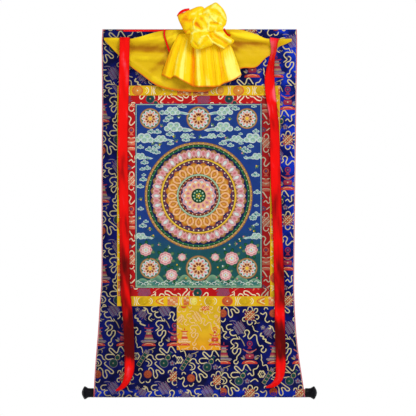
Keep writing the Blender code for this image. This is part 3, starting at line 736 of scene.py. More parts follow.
# ---- woven and painted figures ----
# Each thread has a rim colour, dulled where its float dives into the cloth, and a heart colour.
THREADS = table(
    "| name rim heart",
    ("cream", (120, 88, 60), (236, 222, 164)), ("straw", (120, 96, 60), (190, 170, 120)),
    ("grey", (70, 60, 90), (148, 134, 150)), ("crimson", (110, 14, 44), (176, 44, 74)),
    ("rose", (150, 50, 60), (206, 110, 104)), ("scarlet", (170, 34, 26), (226, 76, 52)),
    ("orange", (140, 52, 26), (206, 100, 50)), ("green", (0, 40, 38), (4, 82, 72)),
    ("ink", (10, 16, 30), (24, 40, 44)), ("gold", (200, 140, 10), (246, 214, 70)),
    ("lemon", (226, 190, 30), (250, 236, 120)), ("pearl", (206, 170, 110), (250, 240, 206)),
    ("vermilion", (190, 60, 10), (238, 96, 40)), ("violet", (70, 30, 70), (134, 88, 122)),
    ("white", (186, 206, 204), (236, 240, 230)), ("teal", (20, 84, 100), (70, 150, 150)),
    ("mint", (110, 170, 140), (190, 214, 176)), ("leaf", (8, 50, 34), (40, 110, 62)),
    ("tan", (130, 84, 50), (204, 158, 104)), ("amber", (170, 90, 20), (232, 166, 60)),
    ("night", (10, 22, 70), (20, 44, 110)), ("brick", (100, 22, 20), (160, 50, 40)),
    ("ivory", (206, 160, 110), (250, 236, 200)), ("coral", (206, 60, 40), (238, 130, 96)),
    ("blush", (226, 160, 60), (248, 206, 150)), ("olive", (196, 150, 0), (214, 176, 6)),
    ("cloud", (214, 226, 220), (96, 160, 150)), ("sage", (40, 84, 60), (104, 140, 96)),
    ("rosy", (228, 176, 176), (196, 96, 104)), ("petal", (244, 222, 214), (222, 146, 146)),
    ("peach", (246, 200, 150), (216, 126, 60)), ("ochre", (222, 170, 70), (190, 110, 30)),
    ("rust", (90, 34, 24), (150, 70, 40)), ("plum", (70, 36, 60), (120, 62, 84)),
    ("hill", (130, 170, 130), (30, 100, 96)),
)
THREAD_NUMBERS = {thread.name: number for number, thread in enumerate(THREADS)}
PALETTE_SIDE = 7  # squares along a side of the figures' bake map, one for each thread
SQUARE_REACH = 0.42  # of a square's width that is used, from its middle
STRAND_STEP = 1.7  # mm between points of a strand


def smooth_line(points, step=STRAND_STEP, closed=False):
    """Points on a smooth curve through the given ones, which may be far apart."""
    points = [Vector(p) for p in points]
    count = len(points)

    def at(i):
        return points[i % count] if closed else points[int(clamp(i, 0, count - 1))]

    line = []
    for i in range(count if closed else count - 1):
        p0, p1, p2, p3 = at(i - 1), at(i), at(i + 1), at(i + 2)
        pieces = max(round((p2 - p1).length / step), 1)
        for k in range(pieces):
            t = k / pieces
            line.append(0.5 * (2 * p1 + (p2 - p0) * t + (2 * p0 - 5 * p1 + 4 * p2 - p3) * t * t
                               + (3 * p1 - p0 - 3 * p2 + p3) * t ** 3))
    if not closed:
        line.append(points[-1])
    return line


def spot(x, y, reach, angle, squash=1.0):
    """The point at a reach from x, y and at an angle in radians."""
    return Vector((x + reach * math.cos(angle), y + squash * reach * math.sin(angle)))


def turns(count, start=0.0):
    """Angles in radians that go evenly round."""
    return [2 * math.pi * k / count + start for k in range(count)]


def ellipse(x, y, wide, high, steps=22):
    return [Vector((x + wide * math.cos(a), y + high * math.sin(a))) for a in turns(steps)]


def leaf_outline(x, y, length, width, angle, steps, fullest, blunt=1.0):
    """Both edges of a pointed leaf from its foot at x, y."""
    way = Vector((math.cos(angle), math.sin(angle)))
    side, foot = Vector((-way.y, way.x)), Vector((x, y))
    half = [(k / steps, width / 2 * math.sin(math.pi * (k / steps) ** fullest) ** blunt)
            for k in range(steps + 1)]
    return ([foot + way * length * s + side * w for s, w in half]
            + [foot + way * length * s - side * w for s, w in half[-2:0:-1]])


def heart_of(outline, heart=None):
    return Vector(heart) if heart else sum(outline, Vector((0, 0))) / len(outline)


def is_clockwise(outline):
    return sum(outline[i - 1].x * outline[i].y - outline[i].x * outline[i - 1].y
               for i in range(len(outline))) < 0


FLOAT_LIFT, FLOAT_SINK = 0.00032, -0.00012  # of a figure's crown and of its edge
LEVEL_STEP = 0.00018  # from a figure to the one that lies on it


class Figures:
    """Low raised figures in plan: right and down in millimetres, lift off the cloth in metres."""

    def __init__(self, dyes=None, scale=1.0):
        self.verts, self.faces, self.corners = [], [], []
        self.dyes, self.scale = dyes or {}, scale * MM
        self.level(0)

    def level(self, number):
        """Sets the level of the figures made from here on: 1 lies on 0, and so on."""
        self.lift = FLOAT_LIFT + LEVEL_STEP * number
        self.sink = FLOAT_SINK + (LEVEL_STEP * (number + 1) if number else 0)

    def vert(self, at, lift):
        self.verts.append(Vector((at.x * self.scale, -lift, -at.y * self.scale)))
        return len(self.verts) - 1

    def face(self, thread, corners, over=False):
        """corners: vertex, share of rim colour, and place in the thread's square, -1 to 1."""
        thread = self.dyes.get(thread, thread)
        corners = corners[::-1] if over else corners
        self.faces.append([corner[0] for corner in corners])
        self.corners.append([(thread, *corner[1:]) for corner in corners])

    def strand(self, line, width, thread, closed=False, taper=True):
        """A domed strand of floats along a line, dull on its far side."""
        line = [Vector(p) for p in line]
        count = len(line)
        bands = ((-1.0, self.sink, 1.0), (-0.45, self.lift, 0.1), (0.45, self.lift, 0.0),
                 (1.0, self.sink, 0.45))
        rows = []
        for i, point in enumerate(line):
            before = line[i - 1] if (i or closed) else line[0]
            after = line[(i + 1) % count] if (i < count - 1 or closed) else line[-1]
            way = (after - before).normalized() if after != before else Vector((1, 0))
            wide = width / 2
            if taper and not closed:
                wide *= min(1.0, 0.35 + 0.65 * min(i, count - 1 - i) / 2)
            rows.append([self.vert(point + Vector((-way.y, way.x)) * wide * side, lift)
                         for side, lift, _ in bands])
        for near, far in zip(rows, rows[1:] + rows[:1] if closed else rows[1:]):
            for b in range(3):
                (left, _, dull), (right, _, shade) = bands[b], bands[b + 1]
                self.face(thread, [(near[b], dull, left, -0.8), (near[b + 1], shade, right, -0.8),
                                   (far[b + 1], shade, right, 0.8), (far[b], dull, left, 0.8)])

    def fill(self, outline, thread, inset=0.8, heart=None):
        """A domed shape inside an outline that can be seen whole from its heart."""
        outline = [Vector(p) for p in outline]
        middle = heart_of(outline, heart)
        centre = self.vert(middle, self.lift * 1.05)
        rim, inner = [], []
        for point in outline:
            away = point - middle
            near = max(away.length - inset, away.length * 0.4) / away.length
            rim.append(self.vert(point, self.sink))
            inner.append(self.vert(middle + away * near, self.lift))
        angles, over = turns(len(outline)) + [2 * math.pi], not is_clockwise(outline)
        for i in range(len(outline)):
            j = (i + 1) % len(outline)
            (ax, ay), (bx, by) = spot(0, 0, 1, angles[i]), spot(0, 0, 1, angles[i + 1])
            outer = [(rim[i], 1.0, ax, ay), (rim[j], 1.0, bx, by),
                     (inner[j], 0.4, 0.6 * bx, 0.6 * by), (inner[i], 0.4, 0.6 * ax, 0.6 * ay)]
            for corners in (outer, [outer[3], outer[2], (centre, 0.0, 0.0, 0.0)]):
                self.face(thread, corners, over)

    def disc(self, x, y, radius, thread, squash=1.0, inset=0.8):
        sides = max(8, round(2 * math.pi * radius / 3))
        self.fill([spot(x, y, radius, a, squash) for a in turns(sides)], thread, inset)

    def arc(self, x, y, radius, start, sweep, width, thread, squash=1.0):
        """Part of a circle, or the whole of one where it sweeps 360 degrees."""
        count = max(math.ceil(abs(math.radians(sweep)) * radius / STRAND_STEP), 3)
        line = [spot(x, y, radius, math.radians(start + sweep * k / count), squash)
                for k in range(count + 1)]
        closed = sweep == 360
        self.strand(line[:-1] if closed else line, width, thread, closed)

    def ring(self, x, y, radius, width, thread):
        self.arc(x, y, radius, 0, 360, width, thread)

    def line(self, points, width, thread):
        self.strand(smooth_line(points), width, thread)

    def leaf(self, x, y, length, width, angle, thread, steps=5, inset=0.8):
        outline = leaf_outline(x, y, length, width, math.radians(angle), steps, 0.8)
        self.fill(outline, thread, inset)

    def build(self, name, material):
        obj = new_object(name, self.verts, self.faces, material)
        mesh = obj.data
        mesh.uv_layers.new(name="OFBake")
        mesh.color_attributes.new("thread", "FLOAT_COLOR", "CORNER")
        uv, colour = mesh.uv_layers["OFBake"], mesh.color_attributes["thread"]
        loop = 0
        for corners in self.corners:
            for thread, rim, across, up in corners:
                number = THREAD_NUMBERS[thread]
                shade = [mix(h, r, rim) for h, r in zip(linear(*THREADS[number].heart),
                                                        linear(*THREADS[number].rim))]
                colour.data[loop].color = (*shade, 1.0)
                row, column = divmod(number, PALETTE_SIDE)
                uv.data[loop].uv = ((column + 0.5 + SQUARE_REACH * across) / PALETTE_SIDE,
                                    (row + 0.5 + SQUARE_REACH * up) / PALETTE_SIDE)
                loop += 1
        return obj


def thread_finish(name, sheen=0.1, roughness=0.42, pitch=0.0007, depth=0.00007, shade=None):
    """Silk floats of the figures' colours, with fine ribs and uneven dye."""
    finish = Finish(name, Roughness=roughness, Sheen_Weight=sheen, Sheen_Roughness=0.35,
                    Specular_IOR_Level=0.15)
    at = finish.own_place()
    colour = finish.attribute("thread").outputs["Color"]
    # Painted shade: the threads are dimmed across the scroll.
    if shade:
        dim = finish.ramp(finish.part(at, "X"), *shade)
        colour = finish.blend(dim, colour, (0.30, 0.30, 0.34), "MULTIPLY")
    finish.set("Base Color", finish.cloudy(at, 160.0, 0.3, 0.75, 0.30, colour, (0.25, 0.22, 0.25),
                                           "MULTIPLY"))
    finish.set("Normal", finish.bump(finish.threads(at, pitch, "Z"), depth))
    return finish.material


def repeated(obj, count, step):
    if count > 1:
        apply_modifier(obj, "ARRAY", count=count, use_relative_offset=False,
                       use_constant_offset=True, constant_offset_displace=step)


def trim(obj, area=None, hidden=None):
    """Keeps what lies in an area of the plan, cut clean at its sides, or drops what is hidden.

    hidden(x, down) says so of one corner. A face goes where all its corners are hidden.
    """
    bm = bmesh.new()
    bm.from_mesh(obj.data)
    if area:
        for at, way in (((area.left, 0, 0), (-1, 0, 0)), ((area.right, 0, 0), (1, 0, 0)),
                        ((0, 0, -area.top), (0, 0, 1)), ((0, 0, -area.bottom), (0, 0, -1))):
            bmesh.ops.bisect_plane(bm, geom=bm.verts[:] + bm.edges[:] + bm.faces[:], plane_co=at,
                                   plane_no=way, clear_outer=True)
    if hidden:
        gone = [face for face in bm.faces if all(hidden(v.co.x, -v.co.z) for v in face.verts)]
        bmesh.ops.delete(bm, geom=gone, context="FACES")
    bm.to_mesh(obj.data)
    bm.free()


def lay_on(obj, surface):
    """Takes figures from the plan to a cloth: surface(x, down, lift) gives each place."""
    for vert in obj.data.vertices:
        x, y, z = vert.co
        vert.co = surface(x, -z, -y)


def join_all(objects, name):
    select_only(objects[0])
    for obj in objects:
        obj.select_set(True)
    if len(objects) > 1:
        bpy.ops.object.join()
    objects[0].name = name
    shade_smooth(objects[0], 60)
    return objects[0]


def tiled(cell, name, area, origin, repeat):
    """Copies of a cell over an area of the plan, the first with its corner at or before origin."""
    obj = cell.copy()
    obj.data = cell.data.copy()
    obj.name = name
    bpy.context.collection.objects.link(obj)
    first_x, first_y = (at - math.ceil((at - start) / step) * step - step
                        for at, start, step in zip(origin, (area.left, area.top), repeat))
    for vert in obj.data.vertices:
        vert.co += Vector((first_x, 0, -first_y))
    repeated(obj, math.ceil((area.right - first_x) / repeat[0]) + 1, (repeat[0], 0, 0))
    repeated(obj, math.ceil((area.bottom - first_y) / repeat[1]) + 1, (0, 0, -repeat[1]))
    trim(obj, area)
    return obj


# ---- figures of the blue brocade ----
# A scroll runs smoothly through its bends, in millimetres right and down of the repeat's corner.
BROCADE_SCROLLS = table(
    "| width thread bends",
    (3.4, "grey", ((13, 11), (23, 9), (34, 11))),
    (3.8, "cream", ((22, 21), (9, 22), (3, 29), (8, 38), (18, 36))),
    (4.4, "cream", ((26, 39), (16, 42), (15, 50), (23, 57), (36, 55))),
    (3.2, "cream", ((35, 56), (38, 64), (44, 69), (47, 66), (43, 60))),
    (3.4, "straw", ((49, 67), (56, 76), (63, 92))),
    (4.2, "cream", ((57, 62), (65, 55), (62, 45), (70, 39), (78, 46), (73, 60), (78, 68), (86, 62),
     (93, 55), (101, 58), (103, 73), (110, 90), (120, 90), (123, 97), (117, 103), (118, 109), (124, 112),
     (131, 107), (132, 99))),
    (3.4, "cream", ((87, 24), (91, 32), (95, 41), (107, 45))),
    (4, "cream", ((41, 69), (26, 68), (18, 76), (21, 84), (28, 91), (16, 101))),
    (4.2, "cream", ((32, 80), (40, 86), (37, 96), (26, 101), (23, 110), (30, 117), (37, 110), (40, 101),
     (49, 101), (48, 113), (38, 126), (36, 136), (29, 139), (28, 146), (34, 150), (40, 146), (41, 140))),
    (5.6, "cream", ((118, 48), (114, 57), (124, 61), (123, 68), (132, 70), (132, 77), (149, 84))),
    (5, "cream", ((141, 25), (148, 27), (146, 35), (138, 33))),
    (4.2, "cream", ((150, 26), (155, 34), (158, 43), (168, 46), (160, 56), (160, 63), (170, 69))),
    (3.6, "cream", ((116, 118), (118, 130), (117, 137), (121, 145), (122, 155), (133, 153), (138, 163),
     (139, 173))),
    (3.2, "straw", ((156, 164), (166, 161), (180, 155))),
    (4.4, "cream", ((48, 181), (31, 165), (32, 157), (40, 160), (53, 172), (59, 165), (62, 155),
     (69, 152), (76, 161), (83, 172))),
    (4.2, "cream", ((44, 178), (24, 178), (18, 186), (26, 194), (44, 191))),
    (4, "cream", ((71, 186), (79, 180), (86, 188), (92, 184), (91, 169), (102, 164), (108, 153))),
    (4, "cream", ((80, 209), (96, 199), (107, 208))),
    (4.2, "cream", ((21, 201), (15, 208), (28, 220), (43, 232), (42, 239), (34, 239), (27, 230),
     (18, 230), (23, 247), (17, 255), (10, 246), (9, 231), (2, 222), (-4, 223), (-6, 230))),
    (4, "cream", ((150, 190), (159, 179), (170, 181), (175, 192), (183, 196))),
    (4, "cream", ((152, 192), (163, 195), (169, 205), (163, 214), (152, 215))),
    (3.4, "cream", ((148, 198), (157, 201), (160, 207), (156, 211))),
    (4, "cream", ((113, 240), (122, 245), (131, 239), (134, 248), (129, 262), (136, 271), (145, 266))),
    (3.8, "cream", ((126, 231), (128, 224), (135, 224), (139, 230))),
    (3.8, "cream", ((149, 264), (154, 269), (161, 267), (165, 258))),
    (3.8, "cream", ((57, 239), (60, 231), (67, 231), (69, 240))),
    (3.8, "cream", ((72, 232), (75, 222), (82, 220), (87, 225), (88, 234))),
    (3.8, "cream", ((91, 237), (96, 227), (104, 227), (104, 235), (97, 241))),
    (3.8, "cream", ((95, 248), (105, 248), (109, 255), (104, 261), (99, 259))),
    (3.8, "cream", ((88, 264), (97, 266), (99, 273), (94, 277))),
    (3.8, "cream", ((71, 264), (72, 274), (79, 279), (86, 275), (87, 269))),
    (3.8, "cream", ((66, 254), (57, 257), (57, 266), (65, 267))),
    (2.8, "straw", ((2, 60), (8, 64), (14, 62))), (2.8, "straw", ((96, 12), (104, 17), (112, 15))),
    (2.8, "straw", ((101, 126), (107, 122), (112, 127))), (2.8, "straw", ((1, 160), (8, 166), (5, 173))),
)
HATCH_PITCH = 3.6  # mm between the floats of a hatched cloud


def hatched_cloud(draw, x, y, width, height, lean):
    """Slanting floats side by side, longest in the middle."""
    count = round(width / HATCH_PITCH)
    way = spot(0, 0, 1, math.radians(lean))
    for k in range(count):
        share = 2 * (k + 0.5) / count - 1
        length = height * math.sqrt(max(1 - 0.7 * share ** 2, 0)) * (0.85 if k % 2 else 1.05)
        middle = (Vector((x, y)) + Vector((-way.y, way.x)) * share * width / 2
                  + way * (2.5 if k % 3 else -2.5))
        draw.line([middle - way * length / 2, middle + way * length / 2], 2.9, "grey" if k % 3 else "violet")


def small_flower(draw, x, y, radius, thread, heart):
    for angle in turns(5, -math.pi / 2):
        draw.disc(*spot(x, y, radius * 0.62, angle), radius * 0.42, thread)
    draw.level(1)
    draw.disc(x, y, radius * 0.30, heart)
    draw.level(0)


PAGODA_TIERS = table(
    "| top bottom half_top half_bottom thread",
    (78, 88, 0.8, 2.4, "crimson"), (95, 103, 8, 8, "grey"), (105, 113, 8.5, 9.5, "straw"),
    (113, 119, 12, 13, "crimson"), (119, 123, 12, 14, "rose"), (123, 128, 14, 16, "straw"),
)
PAGODA_EAVES = table(
    "| drop half rise thickness thread",
    (93, 15, 2.5, 4.4, "crimson"), (104, 13, 2, 3, "rose"), (132, 26, -3, 6.4, "grey"),
    (136, 23, -3, 2.6, "straw"),
)


def saucer(draw, x, top, half, deep, thread):
    """A saucer with its ends turned up."""
    upper = [(x - half + 2 * half * k / 8, top + deep * 0.35 * (1 - (k / 4 - 1) ** 2)) for k in range(9)]
    lower = [(x + half - 2 * half * k / 8, top + deep * (1 - abs(k / 4 - 1) ** 2.5)) for k in range(1, 8)]
    draw.fill(upper + lower, thread, heart=(x, top + deep * 0.62))


def mound(draw, x, foot, half, high, thread):
    """A low round-topped foot with a pale line along it."""
    draw.fill([(x + half * math.cos(a), foot - high * math.sin(a) ** 0.8)
               for a in (math.pi * k / 14 for k in range(15))], thread, heart=(x, foot - high * 0.4))
    draw.level(1)
    draw.arc(x, foot - high * 0.15, half * 0.62, 195, 150, 1.8, "cream", high / half)
    draw.level(0)


def pagoda(draw, x):
    for tier in PAGODA_TIERS:
        draw.fill([(x - tier.half_top, tier.top), (x + tier.half_top, tier.top),
                   (x + tier.half_bottom, tier.bottom), (x - tier.half_bottom, tier.bottom)], tier.thread)
    draw.level(1)
    for eave in PAGODA_EAVES:
        draw.line([(x + eave.half * s, eave.drop - eave.rise * s * s) for s in
                   (-1, -0.75, -0.4, 0, 0.4, 0.75, 1)], eave.thickness, eave.thread)
    for s in (-1, -0.33, 0.33, 1):
        draw.disc(x + s * 6, 99, 1.6, "cream")
        draw.disc(x + s * 17, 132, 1.8, "crimson")
    draw.disc(x, 109, 2.2, "cream")
    draw.level(0)
    mound(draw, x, 150, 23, 11, "scarlet")


def vessel(draw, x):
    draw.ring(x, 84, 8, 3.4, "crimson")
    draw.disc(x, 84, 4.6, "violet")
    draw.fill([(x - 1.5, 91), (x + 1.5, 91), (x + 8, 101), (x - 8, 101)], "crimson")
    saucer(draw, x, 103, 18, 13, "crimson")
    draw.fill([(x - 12, 117), (x + 12, 117), (x + 15, 124), (x + 12, 134), (x - 12, 134), (x - 15, 124)],
              "crimson")
    for side in (-1, 1):
        draw.leaf(x + side * 15, 134, 15, 8, -90 + side * 30, "grey")
        draw.leaf(x + side * 16, 136, 16, 7, -90 + side * 62, "straw")
    draw.level(1)
    for side in (-1, 1):
        draw.line([(x + side * 3, 109), (x + side * 14, 107), (x + side * 22, 101)], 3.2, "rose")
    draw.arc(x, 105, 13, 20, 140, 2.2, "straw", 0.7)
    draw.arc(x, 118, 12, 15, 150, 1.8, "rose", 0.5)
    draw.disc(x, 125, 3.0, "cream")
    draw.level(0)
    mound(draw, x, 150, 26, 12, "scarlet")


def gourd(draw, x, y):
    draw.disc(x, y, 13.6, "green")
    draw.disc(x + 13, y - 18, 7.6, "green")
    draw.line([(x + 18, y - 26), (x + 22, y - 33), (x + 26, y - 36)], 7.0, "green")
    draw.level(1)
    draw.ring(x, y, 13.6, 2.0, "grey")
    draw.ring(x, y, 7.4, 2.2, "ink")
    draw.disc(x - 1, y, 2.8, "straw")
    draw.ring(x + 13, y - 18, 7.6, 1.8, "straw")
    draw.line([(x + 12, y - 28), (x + 20, y - 25)], 2.4, "cream")
    draw.line([(x + 20, y - 39), (x + 29, y - 33)], 2.2, "grey")
    draw.level(0)


def flute(draw, start, end, width, cells):
    """A barred green rod: cells side by side between pale bars."""
    start, end = Vector(start), Vector(end)
    run = (end - start) / cells
    side = Vector((-run.y, run.x)).normalized() * width / 2
    for k in range(cells):
        a, b = start + run * (k + 0.12), start + run * (k + 0.88)
        draw.fill([a - side, a + side, b + side, b - side], "green" if k < cells - 1 else "grey")
        bar = start + run * k
        draw.line([bar - side * 1.3, bar + side * 1.3], 2.2, "straw")
    for s in (-1.15, 1.15):
        draw.line([start + side * s, end + side * s], 1.6, "straw")


def roundel(draw, x, y):
    draw.disc(x, y, 13.6, "orange")
    draw.level(1)
    draw.ring(x, y, 12.4, 2.0, "brick")
    draw.ring(x, y, 4.2, 2.2, "brick")
    for angle in turns(8):
        draw.line([spot(x, y, 5.5, angle), spot(x, y, 10, angle + 0.5)], 2.3, "brick")
    draw.level(0)


def knot_flower(draw, x, y):
    """A lattice of crossing strands, 15 mm from its middle to a corner."""
    for level, side, thread in ((0, -1, "brick"), (1, 1, "orange")):
        draw.level(level)
        for k in range(-3, 4):
            half = 15 - abs(k) * 1.5
            draw.line([(x - half + 2.2 * k, y + side * (half + 2.2 * k)),
                       (x + half + 2.2 * k, y - side * (half - 2.2 * k))], 2.6,
                      "cream" if k in (-2, 2) else thread)
    draw.level(2)
    for dx, dy in ((0, 0), (7, -7), (-7, 7), (7, 7), (-7, -7)):
        draw.disc(x + dx, y + dy, 2.0, "pearl")
    draw.level(0)


def lobed_ring(draw, x, y, radius):
    """A ring flower with a lobed outline."""
    draw.strand([spot(x, y, radius * (1 + 0.12 * math.cos(6 * a)), a) for a in turns(36)], 4.6, "cream",
                closed=True)
    draw.arc(x, y, radius * 0.42, 30, 300, 2.6, "cream")


def brocade_cell(name, finish, dyes=None, scale=1.0, vessel_x=79):
    draw = Figures(dyes, scale)
    for row in BROCADE_SCROLLS:
        draw.line(row.bends, row.width, row.thread)
    hatched_cloud(draw, 45, 31, 34, 45, 57)
    hatched_cloud(draw, 138, 46, 27, 30, -52)
    hatched_cloud(draw, 147, 60, 9, 14, 40)
    small_flower(draw, 122, 31, 8, "grey", "cream")
    small_flower(draw, 30, 83, 3.5, "grey", "violet")
    small_flower(draw, 71, 206, 9, "grey", "crimson")
    pagoda(draw, 159)
    vessel(draw, vessel_x)
    gourd(draw, 44, 206)
    flute(draw, (124, 214), (156, 164), 11, 5)
    roundel(draw, 156, 242)
    knot_flower(draw, 79, 249)
    lobed_ring(draw, 118, 183, 10)
    return draw.build(name, finish)


# Shade on the left of the ground cloth, and on the right red strip: two places across the scroll,
# and how much the threads are dimmed at each.
BLUE_SHADE = (-0.30, -0.05, 0.62, 0.10)
RED_SHADE = (0.190, 0.203, 0.0, 0.70)
REPEAT = (0.1646, 0.2570)  # of the blue brocade, across and down
SIDE_REPEAT = (0.1646, 0.2618)  # stretched a little at the scroll's two sides
BROCADE_TOP, SIDES_TOP, FOOT_TOP = 0.0010, 0.1839, 0.9014
FAR = 0.35  # past the cloth's side edges
HALF_X = -0.0065  # where the two halves of the brocade meet above the frame
FOOT_LEFT, FOOT_RIGHT = -0.0755, 0.0672  # and where three pieces of it meet below
FOOT_END = SLEEVE_RUNS[-4]  # of the brocade, behind the roller
# Each piece that the ground cloth is sewn from, and where a corner of its brocade lies.
GROUND_PIECES = table(
    "| area corner repeat",
    (Area(-FAR, HALF_X, BROCADE_TOP, SIDES_TOP), (-0.326, 0.88248), REPEAT),
    (Area(-FAR, HALF_X, SIDES_TOP, FOOT_TOP), (-0.312, 0.153), SIDE_REPEAT),
    (Area(-FAR, FOOT_LEFT, FOOT_TOP, FOOT_END), (-0.326, 0.88248), REPEAT),
    (Area(FOOT_LEFT, FOOT_RIGHT, FOOT_TOP, FOOT_END), (-0.0205, 0.8953), REPEAT),
    (Area(HALF_X, FAR, BROCADE_TOP, SIDES_TOP), (-0.23798, 0.77816), REPEAT),
    (Area(HALF_X, FAR, SIDES_TOP, FOOT_TOP), (-0.28688, 0.8978), SIDE_REPEAT),
    (Area(FOOT_RIGHT, FAR, FOOT_TOP, FOOT_END), (-0.24613, 0.94116), REPEAT),
)
UNDER = 0.003  # figures run this far under the pieces sewn on top
EDGE_MARGIN = 0.0005  # and end this far inside the cloth's side edges


def shrunk(area, by):
    return Area(area.left + by, area.right - by, area.top + by, area.bottom - by)


def holds(area, x, down):
    return area.left < x < area.right and area.top < down < area.bottom


def off_ground(x, down):
    """Whether a place is past the ground cloth's edges, or well under what is sewn on it."""
    drop = min(down, ROLLER_DROP)
    return (not panel_edge("left", drop) + EDGE_MARGIN < x < panel_edge("right", drop) - EDGE_MARGIN
            or any(holds(shrunk(area, UNDER), x, down) for area in (YELLOW_AREA, DOOR_AREA)))


def brocade_figures():
    cell = brocade_cell("brocade_cell", thread_finish("brocade_threads", shade=BLUE_SHADE))
    tiles = []
    for number, piece in enumerate(GROUND_PIECES):
        tile = tiled(cell, f"brocade_tile_{number}", piece.area, piece.corner, piece.repeat)
        trim(tile, hidden=off_ground)
        lay_on(tile, on_ground)
        tiles.append(tile)
    bpy.data.objects.remove(cell, do_unlink=True)
    return join_all(tiles, "brocade_figures")


# ---- figures of the borders and the gold patch ----
RED_DYES = {"cream": "ivory", "straw": "coral", "crimson": "coral", "rose": "ivory",
            "scarlet": "coral", "orange": "coral", "grey": "violet", "brick": "coral"}
GOLD_DYES = {"cream": "blush", "straw": "blush", "grey": "blush", "violet": "amber",
             "crimson": "scarlet", "rose": "vermilion", "green": "amber", "orange": "vermilion",
             "brick": "scarlet", "pearl": "ivory"}
STRIP_MARGIN = 0.0004  # figures end this far inside a strip's edges
# Where a corner of the brocade lies on each strip, and the quarter turns that the strip was cut at.
RED_LAYS = table(
    "| name corner quarters",
    ("red_top", complex(0.0436, 0.1832), 1), ("red_bottom", complex(-0.2136, 0.9025), -1),
    ("red_left", complex(-0.3030, 0.2450), 0), ("red_right", complex(0.1360, 0.1217), 0),
)


def laid_strip(cell, name, corner, quarters, area, repeat):
    """Figures on a piece sewn on the ground cloth. Its places are complex: x, and the drop."""
    ends = [(end - corner) * 1j ** -quarters for end in
            (complex(area.left + STRIP_MARGIN, area.top + STRIP_MARGIN),
             complex(area.right - STRIP_MARGIN, area.bottom - STRIP_MARGIN))]
    rights, downs = sorted(end.real for end in ends), sorted(end.imag for end in ends)
    tile = tiled(cell, "tile_" + name, Area(*rights, *downs), (0, 0), repeat)

    def surface(right, down, lift):
        at = corner + complex(right, down) * 1j ** quarters
        return on_patch(at.real, at.imag, lift)

    lay_on(tile, surface)
    return join_all([tile], name + "_figures")


def red_figures():
    cell = brocade_cell("red_cell", thread_finish("red_brocade_threads", shade=RED_SHADE), RED_DYES)
    tiles = {lay.name: laid_strip(cell, lay.name, lay.corner, lay.quarters, RED_STRIPS[lay.name], REPEAT)
             for lay in RED_LAYS}
    bpy.data.objects.remove(cell, do_unlink=True)
    return tiles


DOOR_SCALE = 0.80  # of the gold brocade's figures to the blue one's
DOOR_CORNER = complex(-0.1775, 0.9110)
DOOR_VESSEL = 118  # mm across the cell, further from the pagoda than on the blue brocade


def door_figures():
    cell = brocade_cell("gold_cell", thread_finish("gold_threads"), GOLD_DYES, DOOR_SCALE, DOOR_VESSEL)
    repeat = (REPEAT[0] * DOOR_SCALE, REPEAT[1] * DOOR_SCALE)
    figures = laid_strip(cell, "door", DOOR_CORNER, 0, DOOR_AREA, repeat)
    bpy.data.objects.remove(cell, do_unlink=True)
    return figures


YELLOW_REPEAT = 0.3293  # of the yellow brocade's band, along the strip
BAND = YELLOW_WIDTH / MM  # its width in millimetres
YELLOW_TOP = table(
    "| kind at width thread",
    ("roundel", 0, 34, "amber"), ("hook", 30, 16, "pearl"), ("bars", 49, 6, "pearl"),
    ("oval", 68, 26, "olive"), ("flecks", 98, 30, "pearl"), ("fret", 152, 46, "scarlet"),
    ("fret", 206, 50, "crimson"), ("hook", 246, -16, "pearl"), ("oval", 270, 26, "amber"),
    ("bars", 299, 6, "pearl"),
)
YELLOW_BOTTOM = table(
    "| kind at width thread",
    ("chevron", 0, 28, "vermilion"), ("fret", 43, 34, "coral"), ("bars", 69, 6, "pearl"),
    ("fret", 87, 18, "scarlet"), ("oval", 113, 24, "lemon"), ("flecks", 145, 28, "pearl"),
    ("oval", 160, 24, "olive"), ("hook", 180, 16, "pearl"), ("roundel", 221, 35, "orange"),
    ("bars", 251, 6, "pearl"), ("oval", 276, 36, "olive"), ("hook", 300, 14, "pearl"),
)


def band_roundel(draw, x, y, half, row):
    draw.fill(ellipse(x, y, half * 0.9, 14), row.thread)
    draw.level(1)
    draw.strand(ellipse(x, y, half * 0.95, 14.4), 2.8, "vermilion", closed=True)
    draw.arc(x, y, 8.5, 60, 220, 2.2, "vermilion")
    draw.arc(x, y, 4.5, 240, 200, 1.8, "vermilion")
    draw.disc(x, y, 2.8, "ivory")


def band_hook(draw, x, y, half, row):
    side, start = (1, -100) if row.width > 0 else (-1, 80)
    draw.arc(x - side * half * 0.6, y, half + 3, start + 20, 160, 3.2, row.thread)
    draw.arc(x - side * half * 0.8, y, half * 0.8, start, 200, 2.6, "lemon")


def band_bars(draw, x, y, half, row):
    for s in (-1, 1):
        draw.line([(x + s * (half + 1.5), 2), (x + s * half * 0.6, y), (x + s * (half + 1.5), BAND - 2)],
                  2.4, row.thread)


def band_oval(draw, x, y, half, row):
    draw.fill(ellipse(x, y, half * 0.9, 13.5), row.thread)
    draw.level(1)
    draw.arc(x, y, half + 1, 125, 110, 2.2, "pearl", 14 / (half + 1))
    draw.disc(x + half * 0.3, y + 4, 2.4, "gold")


def band_flecks(draw, x, y, half, row):
    for k in range(9):
        angle = k * 2.4
        draw.leaf(x + half * 0.8 * math.cos(angle * 1.7), y + 11 * math.sin(angle), 8, 3.8,
                  math.degrees(angle), ("ivory", row.thread, "gold")[k % 3])


def band_fret(draw, x, y, half, row):
    draw.fill([(x - half, 2), (x, 2), (x + half, 2), (x + half, y), (x + half, BAND - 2), (x, BAND - 2),
               (x - half, BAND - 2), (x - half, y)], "amber")
    draw.level(1)
    columns = max(round(row.width / 8.5), 2)
    for c in range(columns):
        for r in range(4):
            cx = x - half + row.width * (c + 0.5) / columns
            cy = 3 + (BAND - 6) * (r + 0.5) / 4
            draw.strand([(cx - 3, cy - 2.6), (cx + 3, cy - 2.6), (cx + 3, cy + 2.6), (cx - 3, cy + 2.6)],
                        2.3, row.thread if (2 * c + 3 * r) % 5 else "ivory", closed=True)
            draw.disc(cx, cy, 1.4, "scarlet" if (c + r) % 2 else "ivory")


